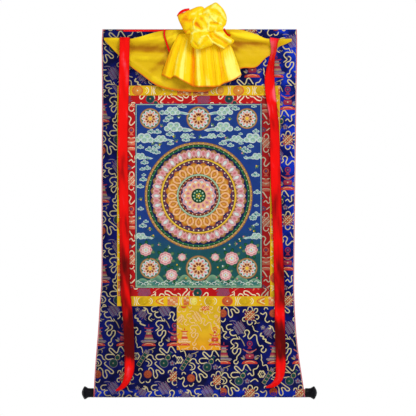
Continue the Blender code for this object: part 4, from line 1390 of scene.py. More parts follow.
def band_chevron(draw, x, y, half, row):
    for size, thread in ((1.0, "scarlet"), (0.6, "ivory"), (0.3, "scarlet")):
        draw.line([(x + half, y - 14 * size), (x + half - row.width * size * 0.9, y),
                   (x + half, y + 14 * size)], 3.0, thread)


BAND_FIGURES = {"roundel": band_roundel, "hook": band_hook, "bars": band_bars, "oval": band_oval,
                "flecks": band_flecks, "fret": band_fret, "chevron": band_chevron}


def yellow_cell(rows, finish):
    draw = Figures()
    for row in rows:
        BAND_FIGURES[row.kind](draw, row.at, BAND / 2, abs(row.width) / 2, row)
        draw.level(0)
    for k in range(40):  # small sprigs of gold between the figures
        draw.leaf(YELLOW_REPEAT / MM * (k + 0.5) / 40, 3 + 26 * (k * 0.618 % 1), 5, 2.2, 137 * k,
                  "gold" if k % 2 else "lemon", 3)
    return draw.build("yellow_cell", finish)


# Where a band's first figure lies along each strip, from the scroll's middle or its top edge.
YELLOW_LAYS = table(
    "| name rows start",
    ("yellow_top", YELLOW_TOP, -0.2034), ("yellow_bottom", YELLOW_BOTTOM, -0.1320),
    ("yellow_left", YELLOW_TOP, 0.3100), ("yellow_right", YELLOW_BOTTOM, 0.2600),
)


def yellow_figures():
    finish = thread_finish("yellow_brocade_threads")
    tiles = {}
    for lay in YELLOW_LAYS:
        cell = yellow_cell(lay.rows, finish)
        strip = YELLOW_STRIPS[lay.name]
        corner, quarters = ((complex(lay.start, strip.top), 0)
                            if lay.name in ("yellow_top", "yellow_bottom")
                            else (complex(strip.right, lay.start), 1))
        tiles[lay.name] = laid_strip(cell, lay.name, corner, quarters, strip, (YELLOW_REPEAT, 1.0))
        bpy.data.objects.remove(cell, do_unlink=True)
    return tiles


# ---- painted pattern of the canvas ----
# A round lotus among clouds, peonies, hills and water: millimetres from the canvas's middle.
PAINT_FIRST, PAINT_STEP = 0.00012, 0.00004  # lift of the first layer of paint, and between layers
RING_STEP = 9.0  # mm, longest step of a broad painted shape
LOTUS_RINGS = table(
    "| inner outer thread",
    (0, 176, "night"), (168, 176, "tan"), (160, 168, "leaf"), (118, 124, "gold"), (108, 118, "plum"),
    (66, 71, "mint"), (58, 66, "rust"), (0, 24, "leaf"),
)
LOTUS_PETALS = table(
    "| count foot length width thread turn heart",
    (28, 118, 40, 34, "tan", 0.5, "rosy"), (28, 120, 34, 22, "rosy", 0, "white"),
    (20, 66, 44, 36, "amber", 0.5, "ochre"), (20, 68, 36, 24, "peach", 0, "amber"),
    (14, 22, 36, 30, "rosy", 0.5, "white"), (14, 20, 28, 20, "peach", 0, "rosy"),
)
MEDALLION_ROSES = table(
    "| count foot length width thread turn heart",
    (12, 12, 17, 12, "white", 0.0, "rosy"), (9, 4, 15, 12, "peach", 0.5, "rust"),
)
# One of each mirrored pair. A cloud's size is negative where it trails off to the left.
RIGHT_BLOOMS = table(
    "| x y size kind",
    (158, -252, 34, "medallion"), (158, 236, 34, "medallion"), (0, -252, 40, "medallion"),
    (0, 236, 42, "medallion"), (80, -226, -30, "cloud"), (84, -278, -26, "cloud"),
    (176, -190, -30, "cloud"), (122, -188, -20, "cloud"), (190, -130, -20, "cloud"),
    (188, 130, -20, "cloud"), (42, -196, -16, "cloud"), (172, 176, 26, "peony"),
    (108, 204, 28, "peony"), (88, 258, 24, "peony"), (54, 200, 16, "peony"),
)
HILLS = 9  # along the foot of the canvas
HILLS_HALF = 206  # mm from the canvas's middle line to the end of their row
HILL_WIDTH, HILL_HEIGHT, HILL_FOOT = 62, 40, 297
EDGE_LINE = 3.0  # mm inside the canvas's edge
SPRIG_ROWS, SPRIG_COLUMNS = 31, 19
SPRIGS_HALF = 192  # mm from the middle line to the outermost sprigs
LOTUS_CLEAR = 188  # mm round the lotus that they leave free
BLOOM_CLEAR = 1.22  # of a bloom's size
LOW_GROUND = 110  # mm below the middle, from where leaves take the clouds' place


class Painting(Figures):
    """Flat painted shapes, each layer a little above the last."""

    def level(self, number):
        self.lift = PAINT_FIRST + PAINT_STEP * number
        self.sink = self.lift - PAINT_STEP / 2

    def broad(self, outline, thread, heart=None):
        """A shape of any size that follows the canvas's waves."""
        outline = [Vector(p) for p in outline]
        middle, over = heart_of(outline, heart), not is_clockwise(outline)
        rings = max(2, math.ceil(max((p - middle).length for p in outline) / RING_STEP))
        count = len(outline)
        rows = [[self.vert(mix(middle, p, k / rings), self.lift) for p in outline]
                for k in range(rings, 0, -1)]
        centre = self.vert(middle, self.lift)
        angles = turns(count) + [2 * math.pi]

        def corner(ring, i, k):
            share = 1 - ring / rings
            return rows[ring][i % count], share ** 1.5, *spot(0, 0, share, angles[k])

        for ring in range(rings):
            for i in range(count):
                corners = [corner(ring, i, i), corner(ring, i + 1, i + 1)]
                if ring < rings - 1:
                    corners += [corner(ring + 1, i + 1, i + 1), corner(ring + 1, i, i)]
                else:
                    corners.append((centre, 0.0, 0.0, 0.0))
                self.face(thread, corners, over)

    def annulus(self, x, y, inner, outer, thread):
        rings = max(1, math.ceil((outer - inner) / RING_STEP))
        sides = max(16, math.ceil(2 * math.pi * outer / RING_STEP))
        rows = [[self.vert(spot(x, y, mix(max(inner, 0.5), outer, k / rings), a), self.lift)
                 for a in turns(sides)] for k in range(rings + 1)]
        for k in range(rings):
            near, far = k / rings, (k + 1) / rings
            for i in range(sides):
                j = (i + 1) % sides
                self.face(thread, [(rows[k][i], near, mix(-1, 1, near), -0.8),
                                   (rows[k + 1][i], far, mix(-1, 1, far), -0.8),
                                   (rows[k + 1][j], far, mix(-1, 1, far), 0.8),
                                   (rows[k][j], near, mix(-1, 1, near), 0.8)], over=True)

    def petal(self, x, y, foot, length, width, angle, thread):
        """A round-shouldered petal with a pointed tip, standing off a middle."""
        foot, heart = spot(x, y, foot, angle), spot(x, y, foot + length * 0.55, angle)
        self.broad(leaf_outline(*foot, length, width, angle, 7, 1.25, 0.75), thread, heart)

    def petals(self, x, y, row, scale=1.0):
        """Whole petals, each a little above or below its neighbours, and a smaller heart on each."""
        lift = self.lift
        for k in range(2 * row.count):
            heart = k >= row.count
            foot, length, width = ((row.foot + row.length * 0.18, row.length * 0.62, row.width * 0.5)
                                   if heart else (row.foot, row.length, row.width))
            self.lift = lift + PAINT_STEP * (0.6 if heart else 0.3 * (k % 2))
            self.petal(x, y, foot * scale, length * scale, width * scale,
                       2 * math.pi * (k + row.turn) / row.count - math.pi / 2,
                       row.heart if heart else row.thread)


LOTUS_BEADS = table(
    "| radius count size thread",
    (172, 72, 2.2, "gold"), (113, 44, 2.6, "pearl"), (62, 30, 2.0, "pearl"), (16, 10, 3.0, "mint"),
    (7, 5, 2.6, "gold"), (164, 60, 1.8, "mint"),
)


def paint_lotus(draw):
    draw.level(1)
    for ring in LOTUS_RINGS[:3]:
        draw.annulus(0, 0, ring.inner, ring.outer, ring.thread)
        draw.level(2)
    for k in range(3):
        for step in range(2):
            draw.level(3 + 4 * k + step)
            draw.petals(0, 0, LOTUS_PETALS[2 * k + step])
        draw.level(5 + 4 * k)
        for ring in LOTUS_RINGS[3 + 2 * k:5 + 2 * k]:
            draw.annulus(0, 0, ring.inner, ring.outer, ring.thread)
    draw.level(16)
    for beads in LOTUS_BEADS:
        for angle in turns(beads.count):
            draw.disc(*spot(0, 0, beads.radius, angle), beads.size, beads.thread)
    draw.disc(0, 0, 3.4, "pearl")


def paint_medallion(draw, x, y, size):
    draw.level(4)
    draw.annulus(x, y, 0, size, "sage")
    draw.level(5)
    draw.annulus(x, y, size * 0.86, size, "tan")
    for k, row in enumerate(MEDALLION_ROSES):
        draw.level(6 + 2 * k)
        draw.petals(x, y, row, size / 34)
    draw.level(11)
    draw.disc(x, y, size * 0.17, "gold")


def paint_cloud(draw, x, y, size):
    """Rounded lobes that trail off to one side. A negative size trails the other way."""
    side, size = math.copysign(1, size), abs(size)
    draw.level(5.4)
    tail = [(x + side * size * t, y + size * (0.32 + 0.10 * math.sin(5 * t)) - size * 0.16 * s)
            for s, ts in ((1, (0.2, 0.7, 1.2, 1.7)), (-1, (2.1, 1.7, 1.2, 0.7, 0.2))) for t in ts]
    draw.broad(tail[::-1] if side > 0 else tail, "cloud")
    for k, (dx, dy, radius) in enumerate(((-0.75, 0.22, 0.34), (0.62, 0.24, 0.34), (-0.34, -0.10, 0.42),
                                          (0.28, -0.12, 0.40), (-0.02, 0.24, 0.40))):
        cx, cy, lobe = x + side * size * dx, y + size * dy, size * radius
        draw.level(6 + k)
        draw.broad(ellipse(cx, cy, lobe, lobe * 0.9, 14), "cloud")
        draw.level(12)
        draw.disc(cx, cy + size * 0.05, lobe * 0.34, "mint")


def paint_peony(draw, x, y, size):
    for k, angle in enumerate(turns(7, 0.3)):
        draw.level(4 + k % 2)
        draw.petal(x, y, size * 0.5, size * 0.75, size * 0.42, angle, "leaf" if k % 3 else "sage")
    for layer, (reach, radius, count, thread) in enumerate(((0.48, 0.34, 8, "rosy"),
                                                            (0.30, 0.28, 6, "petal"),
                                                            (0.12, 0.20, 4, "white"))):
        for k, angle in enumerate(turns(count, math.pi * layer / count)):
            draw.level(7 + 2 * layer + k % 2)
            draw.broad(ellipse(*spot(x, y, size * reach, angle), size * radius, size * radius * 0.9, 10),
                       thread)
    draw.level(14)
    draw.disc(x, y, size * 0.10, "gold")


PAINT_BLOOM = {"medallion": paint_medallion, "cloud": paint_cloud, "peony": paint_peony}


def paint_puff(draw, x, y, size):
    """A small round cloud: lobes about a curl."""
    for k, (dx, dy) in enumerate(((-0.9, 0.2), (0.9, 0.2), (0.0, -0.45), (0.0, 0.4))):
        draw.level(3 + 0.2 * k)
        draw.broad(ellipse(x + size * dx, y + size * dy, size * 0.62, size * 0.52, 9), "cloud")
    draw.level(4)
    draw.broad(ellipse(x, y, size * 0.72, size * 0.42, 9), "teal")
    draw.level(4.4)
    draw.arc(x, y, size * 0.36, 200, 250, size * 0.16, "white")


def paint_sprigs(draw, blooms):
    """Small clouds in the sky, and leaves and buds lower down, where the ground would be bare."""
    for k in range(SPRIG_ROWS * SPRIG_COLUMNS):
        row, column = divmod(k, SPRIG_COLUMNS)
        x = -194 + 388 * (column + 0.5 * (row % 2) + 0.3 * math.sin(2.3 * k)) / (SPRIG_COLUMNS - 0.5)
        y = -288 + 570 * (row + 0.35 * math.sin(1.7 * k)) / SPRIG_ROWS
        if abs(x) > SPRIGS_HALF or math.hypot(x, y) < LOTUS_CLEAR or any(
                math.hypot(x - bx, (y - by) * (1.7 if kind == "cloud" else 1.0)) < abs(size) * BLOOM_CLEAR
                for bx, by, size, kind in blooms):
            continue
        low = y > LOW_GROUND
        if k % 4 and not low:
            paint_puff(draw, x, y, 7.0 + 2.2 * math.sin(0.9 * k))
            continue
        draw.level(3)
        for s in (-1, 0, 1):
            draw.leaf(x, y, 10, 4.6, 47 * k + 52 * s, "leaf" if low and k % 2 == 0 else "sage", 4, 0.5)
        draw.level(4)
        draw.disc(x, y, 2.6, ("rosy", "gold", "white")[k % 3])


def paint_foot(draw):
    """Round hills along the canvas's foot, and rows of ripples before them."""
    for k in range(HILLS):
        x = mix(-HILLS_HALF, HILLS_HALF, (k + 0.5) / HILLS)
        high = HILL_HEIGHT * (0.7 + 0.3 * (k % 2))
        draw.level(1 + k % 2)
        draw.broad([(clamp(x + HILL_WIDTH * (n / 12 - 0.5), 1 - HILLS_HALF, HILLS_HALF - 1),
                     HILL_FOOT - high * math.sin(math.pi * n / 12) ** 0.7) for n in range(13)],
                   "hill", (x, HILL_FOOT - HILL_HEIGHT * 0.3))
    for row in range(3):
        draw.level(3 + row)
        for k in range(22):
            draw.arc(-198 + 396 * (k + 0.5 * (row % 2)) / 21.5, 292 - 5 * row, 7, 180, 180, 1.6,
                     "white" if (k + row) % 3 else "teal", 0.7)


def canvas_figures():
    draw = Painting()
    paint_foot(draw)
    paint_lotus(draw)
    blooms = []
    for x, y, size, kind in RIGHT_BLOOMS:
        if x:
            blooms.append((-x, y, abs(size), kind))
        blooms.append((x, y, size, kind))
    for x, y, size, kind in blooms:
        PAINT_BLOOM[kind](draw, x, y, size)
    paint_sprigs(draw, blooms)
    draw.level(15)
    wide, high = CANVAS_WIDTH / MM / 2 - EDGE_LINE, CANVAS_HEIGHT / MM / 2 - EDGE_LINE
    corners = [Vector(c) for c in ((-wide, -high), (wide, -high), (wide, high), (-wide, high))]
    for start, end in zip(corners, corners[1:] + corners[:1]):
        draw.strand([mix(start, end, k / 40) for k in range(41)], 2.2, "mint", taper=False)
    obj = draw.build("canvas_pattern", thread_finish("canvas_paint", 0.0, 0.75, 0.0006, 0.00004))
    wide, high = CANVAS_WIDTH / 2, CANVAS_HEIGHT / 2
    trim(obj, shrunk(Area(-wide, wide, -high, high), STRIP_MARGIN))
    lay_on(obj, lambda right, down, lift: on_patch(FRAME_X + right, CANVAS_TOP + high + down, lift))
    return join_all([obj], "canvas_pattern")


# ---- settings ----
def colour(name, description, *screen):
    return bpy.props.FloatVectorProperty(name=name, description=description, subtype="COLOR", size=3,
                                         min=0, max=1, default=linear(*screen))


def length(name, description, default):
    return bpy.props.FloatProperty(name=name, description=description, unit="LENGTH", min=0,
                                   default=default, precision=5)


class SCROLL_PG_colours(bpy.types.PropertyGroup):
    """Dyes of the scroll's cloths and finishes of its roller, with colours of painted light and shade"""
    blue: colour("Blue ground", "Most of the ground cloth", 8, 16, 92)
    blue_lit: colour("Blue ground, lit", "Ground cloth where light falls on it", 12, 48, 190)
    blue_dark: colour("Blue ground, deep", "Uneven patches of the ground cloth", 3, 4, 44)
    red_border: colour("Red border", "Inner border strips", 190, 0, 8)
    yellow_border: colour("Yellow border", "Outer border strips", 232, 186, 10)
    gold: colour("Gold patch", "Square below the frame", 226, 184, 26)
    canvas_sky: colour("Canvas sky", "Upper ground of the painted canvas", 24, 58, 132)
    canvas_foot: colour("Canvas foot", "Lower ground of the painted canvas", 26, 84, 84)
    # Fold colours are painted shade in folds, glow colours painted highlights on crests.
    silk: colour("Yellow silk", "Bow and tail", 255, 214, 0)
    silk_fold: colour("Yellow silk, folds", "Deep folds of the bow and tail", 240, 142, 0)
    silk_glow: colour("Yellow silk, shining", "Crests of the bow and tail", 255, 244, 112)
    veil: colour("Veil", "Thin yellow veil over the blue cloth", 224, 184, 8)
    veil_fold: colour("Veil, folds", "Deep folds of the veil", 172, 110, 0)
    veil_glow: colour("Veil, shining", "Crests of the veil", 254, 222, 20)
    silk_hem: colour("Silk hems", "Line along the yellow silk's hems", 228, 110, 10)
    ribbon: colour("Ribbon", "Red ribbons, strap and tie", 246, 8, 4)
    ribbon_fold: colour("Ribbon, shade", "Dark stretches of the ribbons", 92, 0, 0)
    ribbon_glow: colour("Ribbon, shining", "Bright stretches of the ribbons", 255, 96, 112)
    piping: colour("Piping", "Cover of the piping", 214, 96, 110)
    wood: colour("Wood", "Roller", 190, 150, 105)
    lacquer: colour("Lacquer", "Knobs", 4, 4, 10)


class SCROLL_PG_sizes(bpy.types.PropertyGroup):
    """Sizes that the scroll's looks may be changed by"""
    silk_thickness: length("Silk thickness", "Of the veil, bow and ribbons", SILK_THICKNESS)
    slub_pitch: length("Slub pitch", "Between the silk's weft threads", 0.0005)
    weave_pitch: length("Weave pitch", "Between the threads of the sewn cloths", 0.0008)
    hem_width: length("Hem width", "Of the orange line along the yellow silk's hems", 0.004)
    floor_width: length("Floor width", "Side of the square floor", 3.0)


# ---- finishes of the cloths ----
def brocade_ground_finish(scene):
    """Blue satin, lit on its right side and on the sleeve round the roller."""
    dyes = scene.scroll_colours
    finish = Finish("blue_satin_ground", Roughness=0.5, Specular_IOR_Level=0.06)
    at = finish.own_place()
    height = finish.part(at, "Z")
    right = finish.math("MULTIPLY", finish.ramp(finish.part(at, "X"), 0.15, 0.26),
                        finish.ramp(height, -1.10, -0.30, 0.08, 1.0))
    sleeve = finish.ramp(height, -1.170, -1.180, 0.0, 0.6)
    colour = finish.blend(finish.math("MAXIMUM", right, sleeve), dyes.blue, dyes.blue_lit)
    finish.set("Base Color", finish.cloudy(at, 24.0, 0.38, 0.62, 0.85, colour, dyes.blue_dark))
    finish.set("Normal", plain_weave(finish, scene.scroll_sizes.weave_pitch))
    return finish.material


def woven_finish(name, colour, pitch, roughness=0.5, depth=0.00008, foot=None, shade=None):
    """A plain cloth of uneven dye.

    foot is another colour, and the drops from and by which it takes over.
    """
    finish = Finish(name, Roughness=roughness, Specular_IOR_Level=0.15)
    at = finish.own_place()
    if foot:
        other, start, end = foot
        colour = finish.blend(finish.ramp(finish.part(at, "Z"), -start, -end), colour, other)
    # Painted shade: the cloth is dimmed across the scroll.
    if shade:
        dim = finish.ramp(finish.part(at, "X"), *shade)
        colour = finish.blend(dim, colour, (0.45, 0.45, 0.45), "MULTIPLY")
    finish.set("Base Color", finish.cloudy(at, 30.0, 0.3, 0.8, 0.45, colour, (0.55, 0.45, 0.45),
                                           "MULTIPLY"))
    finish.set("Normal", plain_weave(finish, pitch, depth))
    return finish.material


# ---- operators ----
STRIP_STEP = 0.010  # longest step of a strip's or canvas's mesh


def patch_cloth(name, area, material, slot, node):
    """A flat piece sewn on the ground cloth, which follows its waves, and its width and length."""
    size = (area.right - area.left, area.bottom - area.top)
    stand = PANEL_THICKNESS / 2 + FIT_GAP + PATCH_THICKNESS / 2

    def shape(u, v):
        x, drop = mix(area.left, area.right, u), mix(area.top, area.bottom, v)
        return place(x, ground(x, drop) + stand, drop)

    grid = Grid(*(max(math.ceil(side / STRIP_STEP), 2) for side in size))
    return fit(cloth(name, grid, shape, PATCH_THICKNESS, material, size), slot, node), size


def sewn(patch, figures, slot):
    """Sews a flat piece, which comes with its size, on the ground cloth, and its figures on it."""
    obj, size = patch
    hung(obj, size, [fit(figures, slot)])


class SCROLL_OT_piping(bpy.types.Operator):
    """Round piping along the cloth's two side edges"""
    bl_idname = "scroll.piping"
    bl_label = "Piping"

    def execute(self, context):
        dyes = context.scene.scroll_colours
        finish = Finish("piping_cover", Roughness=0.6, Sheen_Weight=0.2)
        finish.set("Base Color", finish.cloudy(finish.own_place(), 60.0, 0.3, 0.8, 1.0, dyes.piping,
                                               dyes.red_border))
        points = SLEEVE[:-3]
        for name, u, side in (("piping_left", 0.0, -1), ("piping_right", 1.0, 1)):
            obj = added(name + "_cord", bpy.ops.curve.primitive_nurbs_path_add, location=(0, 0, 0))
            curve = obj.data
            curve.dimensions = "3D"
            curve.splines.clear()
            spline = curve.splines.new("POLY")
            spline.points.add(len(points) - 1)
            for target, (forward, drop) in zip(spline.points, points):
                at = panel_place(u, forward, drop) + Vector((side * (FIT_GAP + PIPING_RADIUS), 0, 0))
                target.co = (*at, 1.0)
            curve.bevel_depth = PIPING_RADIUS
            curve.bevel_resolution = 3
            curve.use_fill_caps = True
            select_only(obj)
            bpy.ops.object.convert(target="MESH")
            obj.data.materials.append(finish.material)
            shade_smooth(obj, 40)
            fit(obj, "piping_red", name)
        return {"FINISHED"}


class SCROLL_OT_ground_cloth(bpy.types.Operator):
    """Blue brocade ground cloth, its lower hem turned round the roller, with its tape"""
    bl_idname = "scroll.ground_cloth"
    bl_label = "Ground cloth"

    def execute(self, context):
        def shape(u, v):
            return panel_place(u, *SLEEVE[round(v * (len(SLEEVE) - 1))])

        scene = context.scene
        size = (PANEL_EDGES[-1].right - PANEL_EDGES[-1].left, SLEEVE_RUNS[-1])
        obj = cloth("ground_cloth", Grid(PANEL_COLUMNS, len(SLEEVE) - 1), shape, PANEL_THICKNESS,
                    brocade_ground_finish(scene), size)
        fit(obj, "blue_brocade", "blue_panel")
        figures = fit(brocade_figures(), "blue_brocade")
        red = woven_finish("red_tape", scene.scroll_colours.ribbon, scene.scroll_sizes.weave_pitch)
        tape, _ = patch_cloth("red_top_tape", TAPE_AREA, red, "red_silk", "top_tape")
        del tape["flat_area"]
        piping = [bpy.data.objects[name] for name in ("piping_left_cord", "piping_right_cord")]
        hung(obj, size, [figures, tape, *piping])
        return {"FINISHED"}


class SCROLL_OT_canvas(bpy.types.Operator):
    """Painted canvas in the middle of the frame"""
    bl_idname = "scroll.canvas"
    bl_label = "Painted canvas"

    def execute(self, context):
        dyes = context.scene.scroll_colours
        material = woven_finish("painted_canvas", dyes.canvas_sky, 0.0006, 0.8, 0.00006,
                                (dyes.canvas_foot, 0.62, 0.76))
        sewn(patch_cloth("canvas", CANVAS_AREA, material, "canvas", "painting"), canvas_figures(), "canvas")
        return {"FINISHED"}


class SCROLL_OT_borders(bpy.types.Operator):
    """Red and yellow brocade strips round the canvas"""
    bl_idname = "scroll.borders"
    bl_label = "Borders"

    def execute(self, context):
        dyes, sizes = context.scene.scroll_colours, context.scene.scroll_sizes
        for strips, colour, slot, figures, shade in (
                (RED_STRIPS, dyes.red_border, "red_brocade", red_figures(), RED_SHADE),
                (YELLOW_STRIPS, dyes.yellow_border, "yellow_brocade", yellow_figures(), None)):
            material = woven_finish(slot + "_ground", colour, sizes.weave_pitch, shade=shade)
            for name, area in strips.items():
                sewn(patch_cloth(name + "_strip", area, material, slot, name), figures[name], slot)
        return {"FINISHED"}


class SCROLL_OT_door(bpy.types.Operator):
    """Square of gold brocade below the frame"""
    bl_idname = "scroll.door"
    bl_label = "Gold patch"

    def execute(self, context):
        dyes, sizes = context.scene.scroll_colours, context.scene.scroll_sizes
        gold = woven_finish("gold_satin", dyes.gold, sizes.weave_pitch, foot=(dyes.silk_fold, 0.94, 1.12))
        patch = patch_cloth("door_patch", DOOR_AREA, gold, "gold_brocade", "door")
        sewn(patch, door_figures(), "gold_brocade")
        return {"FINISHED"}


VEIL_GRID = Grid(230, 64)
SKIRT_GRID = Grid(250, 56)
RIBBON_GRID = Grid(10, 260)
STRAP_GRID = Grid(6, 40)
PUFF_GRID = Grid(120, 72)
VEIL_CUT, SKIRT_CUT = (0.66, 0.21), (0.40, 0.18)  # flat width and length of the silk
VEIL_WEAVE, SKIRT_WEAVE, PUFF_WEAVE = (0.72, 0.21), (0.62, 0.18), (0.20, 0.12)
ROSETTE_WIDTH = 0.35  # of a flat cloth with the puffed folds' area
CUT_SPARE = 0.001  # added to its length
RIBBON_EASE = 1.02  # of a ribbon's cut length to its middle line, for its turns


def hem_tone(depth, hem_width):
    """The hem's dye, along the lower edge of a cloth of this depth."""
    return lambda u, v: clamp(1.5 - (1 - v) * depth / hem_width)


def ribbon_length(rows):
    return sum((ribbon_middle(rows, b.drop) - ribbon_middle(rows, a.drop)).length
               for a, b in zip(rows, rows[1:]))


def ribbon_cloth(name, rows, width, grid, material, light=None):
    """A ribbon, with painted light and shade. light names its column of the table of lights."""
    # Painted light: dark and bright stretches, slanting bands of shade, pink highlights on the right one's
    # turns.
    def tone(u, v):
        drop = ribbon_drop(rows, v)
        base = along(RIBBON_LIGHTS, "drop", light, drop) if light else 0.6
        slanting_shade = uneven(1, u * 1.2 + drop * 9, 1, drop * 14 - u * 2.2, len(name))
        shine = glints(RIBBON_SHINES, u, drop) if light == "right" else 0.0
        return clamp(base + 0.28 * slanting_shade + 0.12 * uneven(7, u, 30, drop, 3.0) + shine)

    def hem(u, _):
        return 0.7 * clamp(1.4 - min(u, 1 - u) * width / PIPING_RADIUS)

    obj = cloth("red_" + name, grid, lambda u, v: ribbon_place(rows, width, u, v), SILK_THICKNESS,
                material, (width, ribbon_length(rows)), {"tone": tone, "hem": hem})
    return fit(obj, "red_silk", name)


class SCROLL_OT_veil(bpy.types.Operator):
    """Yellow silk veil, drawn up to the knot in soft folds, with its strap and tie, and its tail"""
    bl_idname = "scroll.veil"
    bl_label = "Veil, tail, strap and tie"

    def execute(self, context):
        scene, sizes = context.scene, context.scene.scroll_sizes
        veil = cloth("silk_veil", VEIL_GRID, veil_place, sizes.silk_thickness,
                     satin_finish(scene, VEIL_SILK), VEIL_WEAVE,
                     {"tone": veil_painted_light, "hem": hem_tone(0.15, sizes.hem_width)})
        fit(veil, "yellow_silk", "veil")
        skirt = cloth("silk_skirt", SKIRT_GRID, skirt_place, sizes.silk_thickness,
                      satin_finish(scene, YELLOW_SILK), SKIRT_WEAVE,
                      {"tone": skirt_painted_light, "hem": hem_tone(0.17, sizes.hem_width)})
        fit(skirt, "yellow_silk", "skirt")
        silk = satin_finish(scene, RED_SILK)
        ties = [ribbon_cloth(name, rows, width, STRAP_GRID, silk)
                for name, rows, width in (("strap", STRAP, STRAP_WIDTH), ("tie_end", TIE_END, STRAP_WIDTH),
                                          ("tie_loop", TIE_LOOP, TIE_LOOP_WIDTH))]
        for tie in ties:
            del tie["flat_area"]
        hung(veil, VEIL_CUT, ties)
        hung(skirt, SKIRT_CUT)
        return {"FINISHED"}


class SCROLL_OT_rosette(bpy.types.Operator):
    """Puffed folds of yellow silk at the knot"""
    bl_idname = "scroll.rosette"
    bl_label = "Rosette"

    def execute(self, context):
        silk = satin_finish(context.scene, YELLOW_SILK)
        puffs = []
        for number, puff in enumerate(BOW_PUFFS):
            outline = smooth_line(puff.outline, 4.0, closed=True)
            puffs.append(cloth(
                f"rosette_puff_{number}", PUFF_GRID,
                lambda u, v: puff_place(puff, outline, u, mix(POLE, 1 - POLE, v)),
                context.scene.scroll_sizes.silk_thickness, silk, PUFF_WEAVE,
                {"tone": lambda u, v: puff_painted_light(puff, outline, u, mix(POLE, 1 - POLE, v)),
                 "hem": lambda u, v: 0.0}))
        area = sum(obj["flat_area"] for obj in puffs)
        rosette = fit(join_all(puffs, "silk_rosette"), "yellow_silk", "rosette")
        rosette["flat_area"] = area
        hung(rosette, (ROSETTE_WIDTH, area / ROSETTE_WIDTH + CUT_SPARE))
        return {"FINISHED"}


class SCROLL_OT_ribbons(bpy.types.Operator):
    """The two long red silk ribbons"""
    bl_idname = "scroll.ribbons"
    bl_label = "Ribbons"

    def execute(self, context):
        silk = satin_finish(context.scene, RED_SILK)
        for side, rows in (("left", RIBBON_LEFT), ("right", RIBBON_RIGHT)):
            obj = ribbon_cloth("ribbon_" + side, rows, RIBBON_WIDTH, RIBBON_GRID, silk, side)
            hung(obj, (RIBBON_WIDTH, ribbon_length(rows) * RIBBON_EASE))
        return {"FINISHED"}


class SCROLL_OT_roller(bpy.types.Operator):
    """Wood and lacquer of the roller and its knobs"""
    bl_idname = "scroll.roller"
    bl_label = "Roller and knobs"

    def execute(self, context):
        dyes = context.scene.scroll_colours
        wood = Finish("plain_wood_roller", Roughness=0.6)
        grain = wood.noise(wood.own_place(), 60.0, 4.0, (0.1, 1.0, 1.0))
        wood.set("Base Color", wood.blend(grain, linear(150, 110, 70), dyes.wood))
        wood.set("Normal", wood.bump(grain, 0.0002))
        lacquer = Finish("black_lacquer_knob", Roughness=0.35, Specular_IOR_Level=0.1)
        at = lacquer.own_place()
        lacquer.set("Base Color", lacquer.cloudy(at, 90.0, 0.4, 0.8, 1.0, dyes.lacquer, linear(20, 18, 26)))
        lacquer.set("Normal", lacquer.bump(lacquer.noise(at, 90.0), 0.0002, 0.5))
        for name, finish in (("roller", wood), ("knob_left", lacquer), ("knob_right", lacquer)):
            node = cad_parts[name]
            node.data.materials.clear()
            node.data.materials.append(finish.material)
        return {"FINISHED"}


# ---- stage ----
VIEW_X, VIEW_DROP = 0.0261, 0.5826
VIEW_WIDTH = 1.3563  # across the picture, at the scroll
VIEW_DISTANCE = 12.0
SENSOR = 36.0
FLOOR_HEIGHT = -1.45


def area_light(name, at, towards, size, watts):
    light = added(name, bpy.ops.object.light_add, type="AREA", location=at)
    light.data.shape = "DISK"
    light.data.size = size
    light.data.energy = watts
    light.rotation_euler = (Vector(towards) - Vector(at)).to_track_quat("-Z", "Y").to_euler()


def white_surroundings():
    """Full white to the camera, and weaker as light."""
    world = bpy.data.worlds.new("white_surroundings")
    world.use_nodes = True
    tree = world.node_tree
    background = tree.nodes["Background"]
    path = tree.nodes.new("ShaderNodeLightPath")
    strength = tree.nodes.new("ShaderNodeMapRange")
    strength.inputs["To Min"].default_value = 0.55
    strength.inputs["To Max"].default_value = 1.0
    tree.links.new(path.outputs["Is Camera Ray"], strength.inputs["Value"])
    tree.links.new(strength.outputs["Result"], background.inputs["Strength"])
    background.inputs["Color"].default_value = (1, 1, 1, 1)
    return world


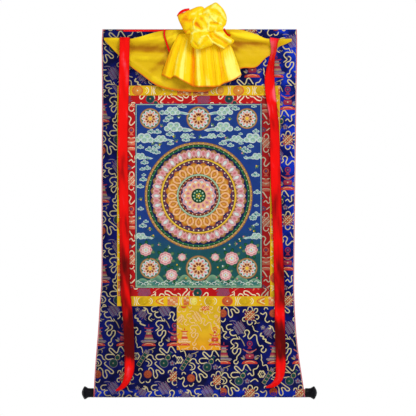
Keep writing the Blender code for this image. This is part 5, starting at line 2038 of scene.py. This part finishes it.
class SCROLL_OT_stage(bpy.types.Operator):
    """Floor, white surroundings, lights and camera"""
    bl_idname = "scroll.stage"
    bl_label = "Stage"

    def execute(self, context):
        scene = context.scene
        scene.view_settings.view_transform = "Standard"
        scene.world = white_surroundings()
        floor = added("floor", bpy.ops.mesh.primitive_plane_add, size=scene.scroll_sizes.floor_width,
                      location=(0, -0.25, FLOOR_HEIGHT))
        floor.data.materials.append(Finish("pale_floor", Base_Color=(0.85, 0.85, 0.85),
                                           Roughness=0.8).material)
        area_light("key", (1.6, -2.6, 1.4), (0, 0, -0.5), 1.6, 62)
        area_light("fill", (-2.4, -2.6, 0.2), (0, 0, -0.6), 2.0, 16)
        camera = added("camera", bpy.ops.object.camera_add, location=(VIEW_X, -VIEW_DISTANCE, -VIEW_DROP),
                       rotation=(math.pi / 2, 0, 0))
        camera.data.sensor_width = SENSOR
        camera.data.lens = SENSOR * VIEW_DISTANCE / VIEW_WIDTH
        camera.data.clip_end = 5 * VIEW_DISTANCE
        scene.camera = camera
        return {"FINISHED"}


OPERATORS = [
    SCROLL_OT_piping, SCROLL_OT_ground_cloth, SCROLL_OT_canvas, SCROLL_OT_borders, SCROLL_OT_door,
    SCROLL_OT_veil, SCROLL_OT_rosette, SCROLL_OT_ribbons, SCROLL_OT_roller, SCROLL_OT_stage,
]


class SCROLL_PT_panel(bpy.types.Panel):
    """Lists the pieces of the scroll"""
    bl_idname = "SCROLL_PT_panel"
    bl_label = "Hanging scroll"
    bl_space_type = "VIEW_3D"
    bl_region_type = "UI"
    bl_category = "Scroll"

    def draw(self, context):
        for operator in OPERATORS:
            self.layout.operator(operator.bl_idname)


CLASSES = [SCROLL_PG_colours, SCROLL_PG_sizes, *OPERATORS, SCROLL_PT_panel]


def register():
    for cls in CLASSES:
        bpy.utils.register_class(cls)
    bpy.types.Scene.scroll_colours = bpy.props.PointerProperty(type=SCROLL_PG_colours)
    bpy.types.Scene.scroll_sizes = bpy.props.PointerProperty(type=SCROLL_PG_sizes)


def unregister():
    del bpy.types.Scene.scroll_colours, bpy.types.Scene.scroll_sizes
    for cls in reversed(CLASSES):
        bpy.utils.unregister_class(cls)


def main():
    register()
    for operator in OPERATORS:
        group, name = operator.bl_idname.split(".")
        getattr(getattr(bpy.ops, group), name)()


if __name__ == "__main__":
    main()
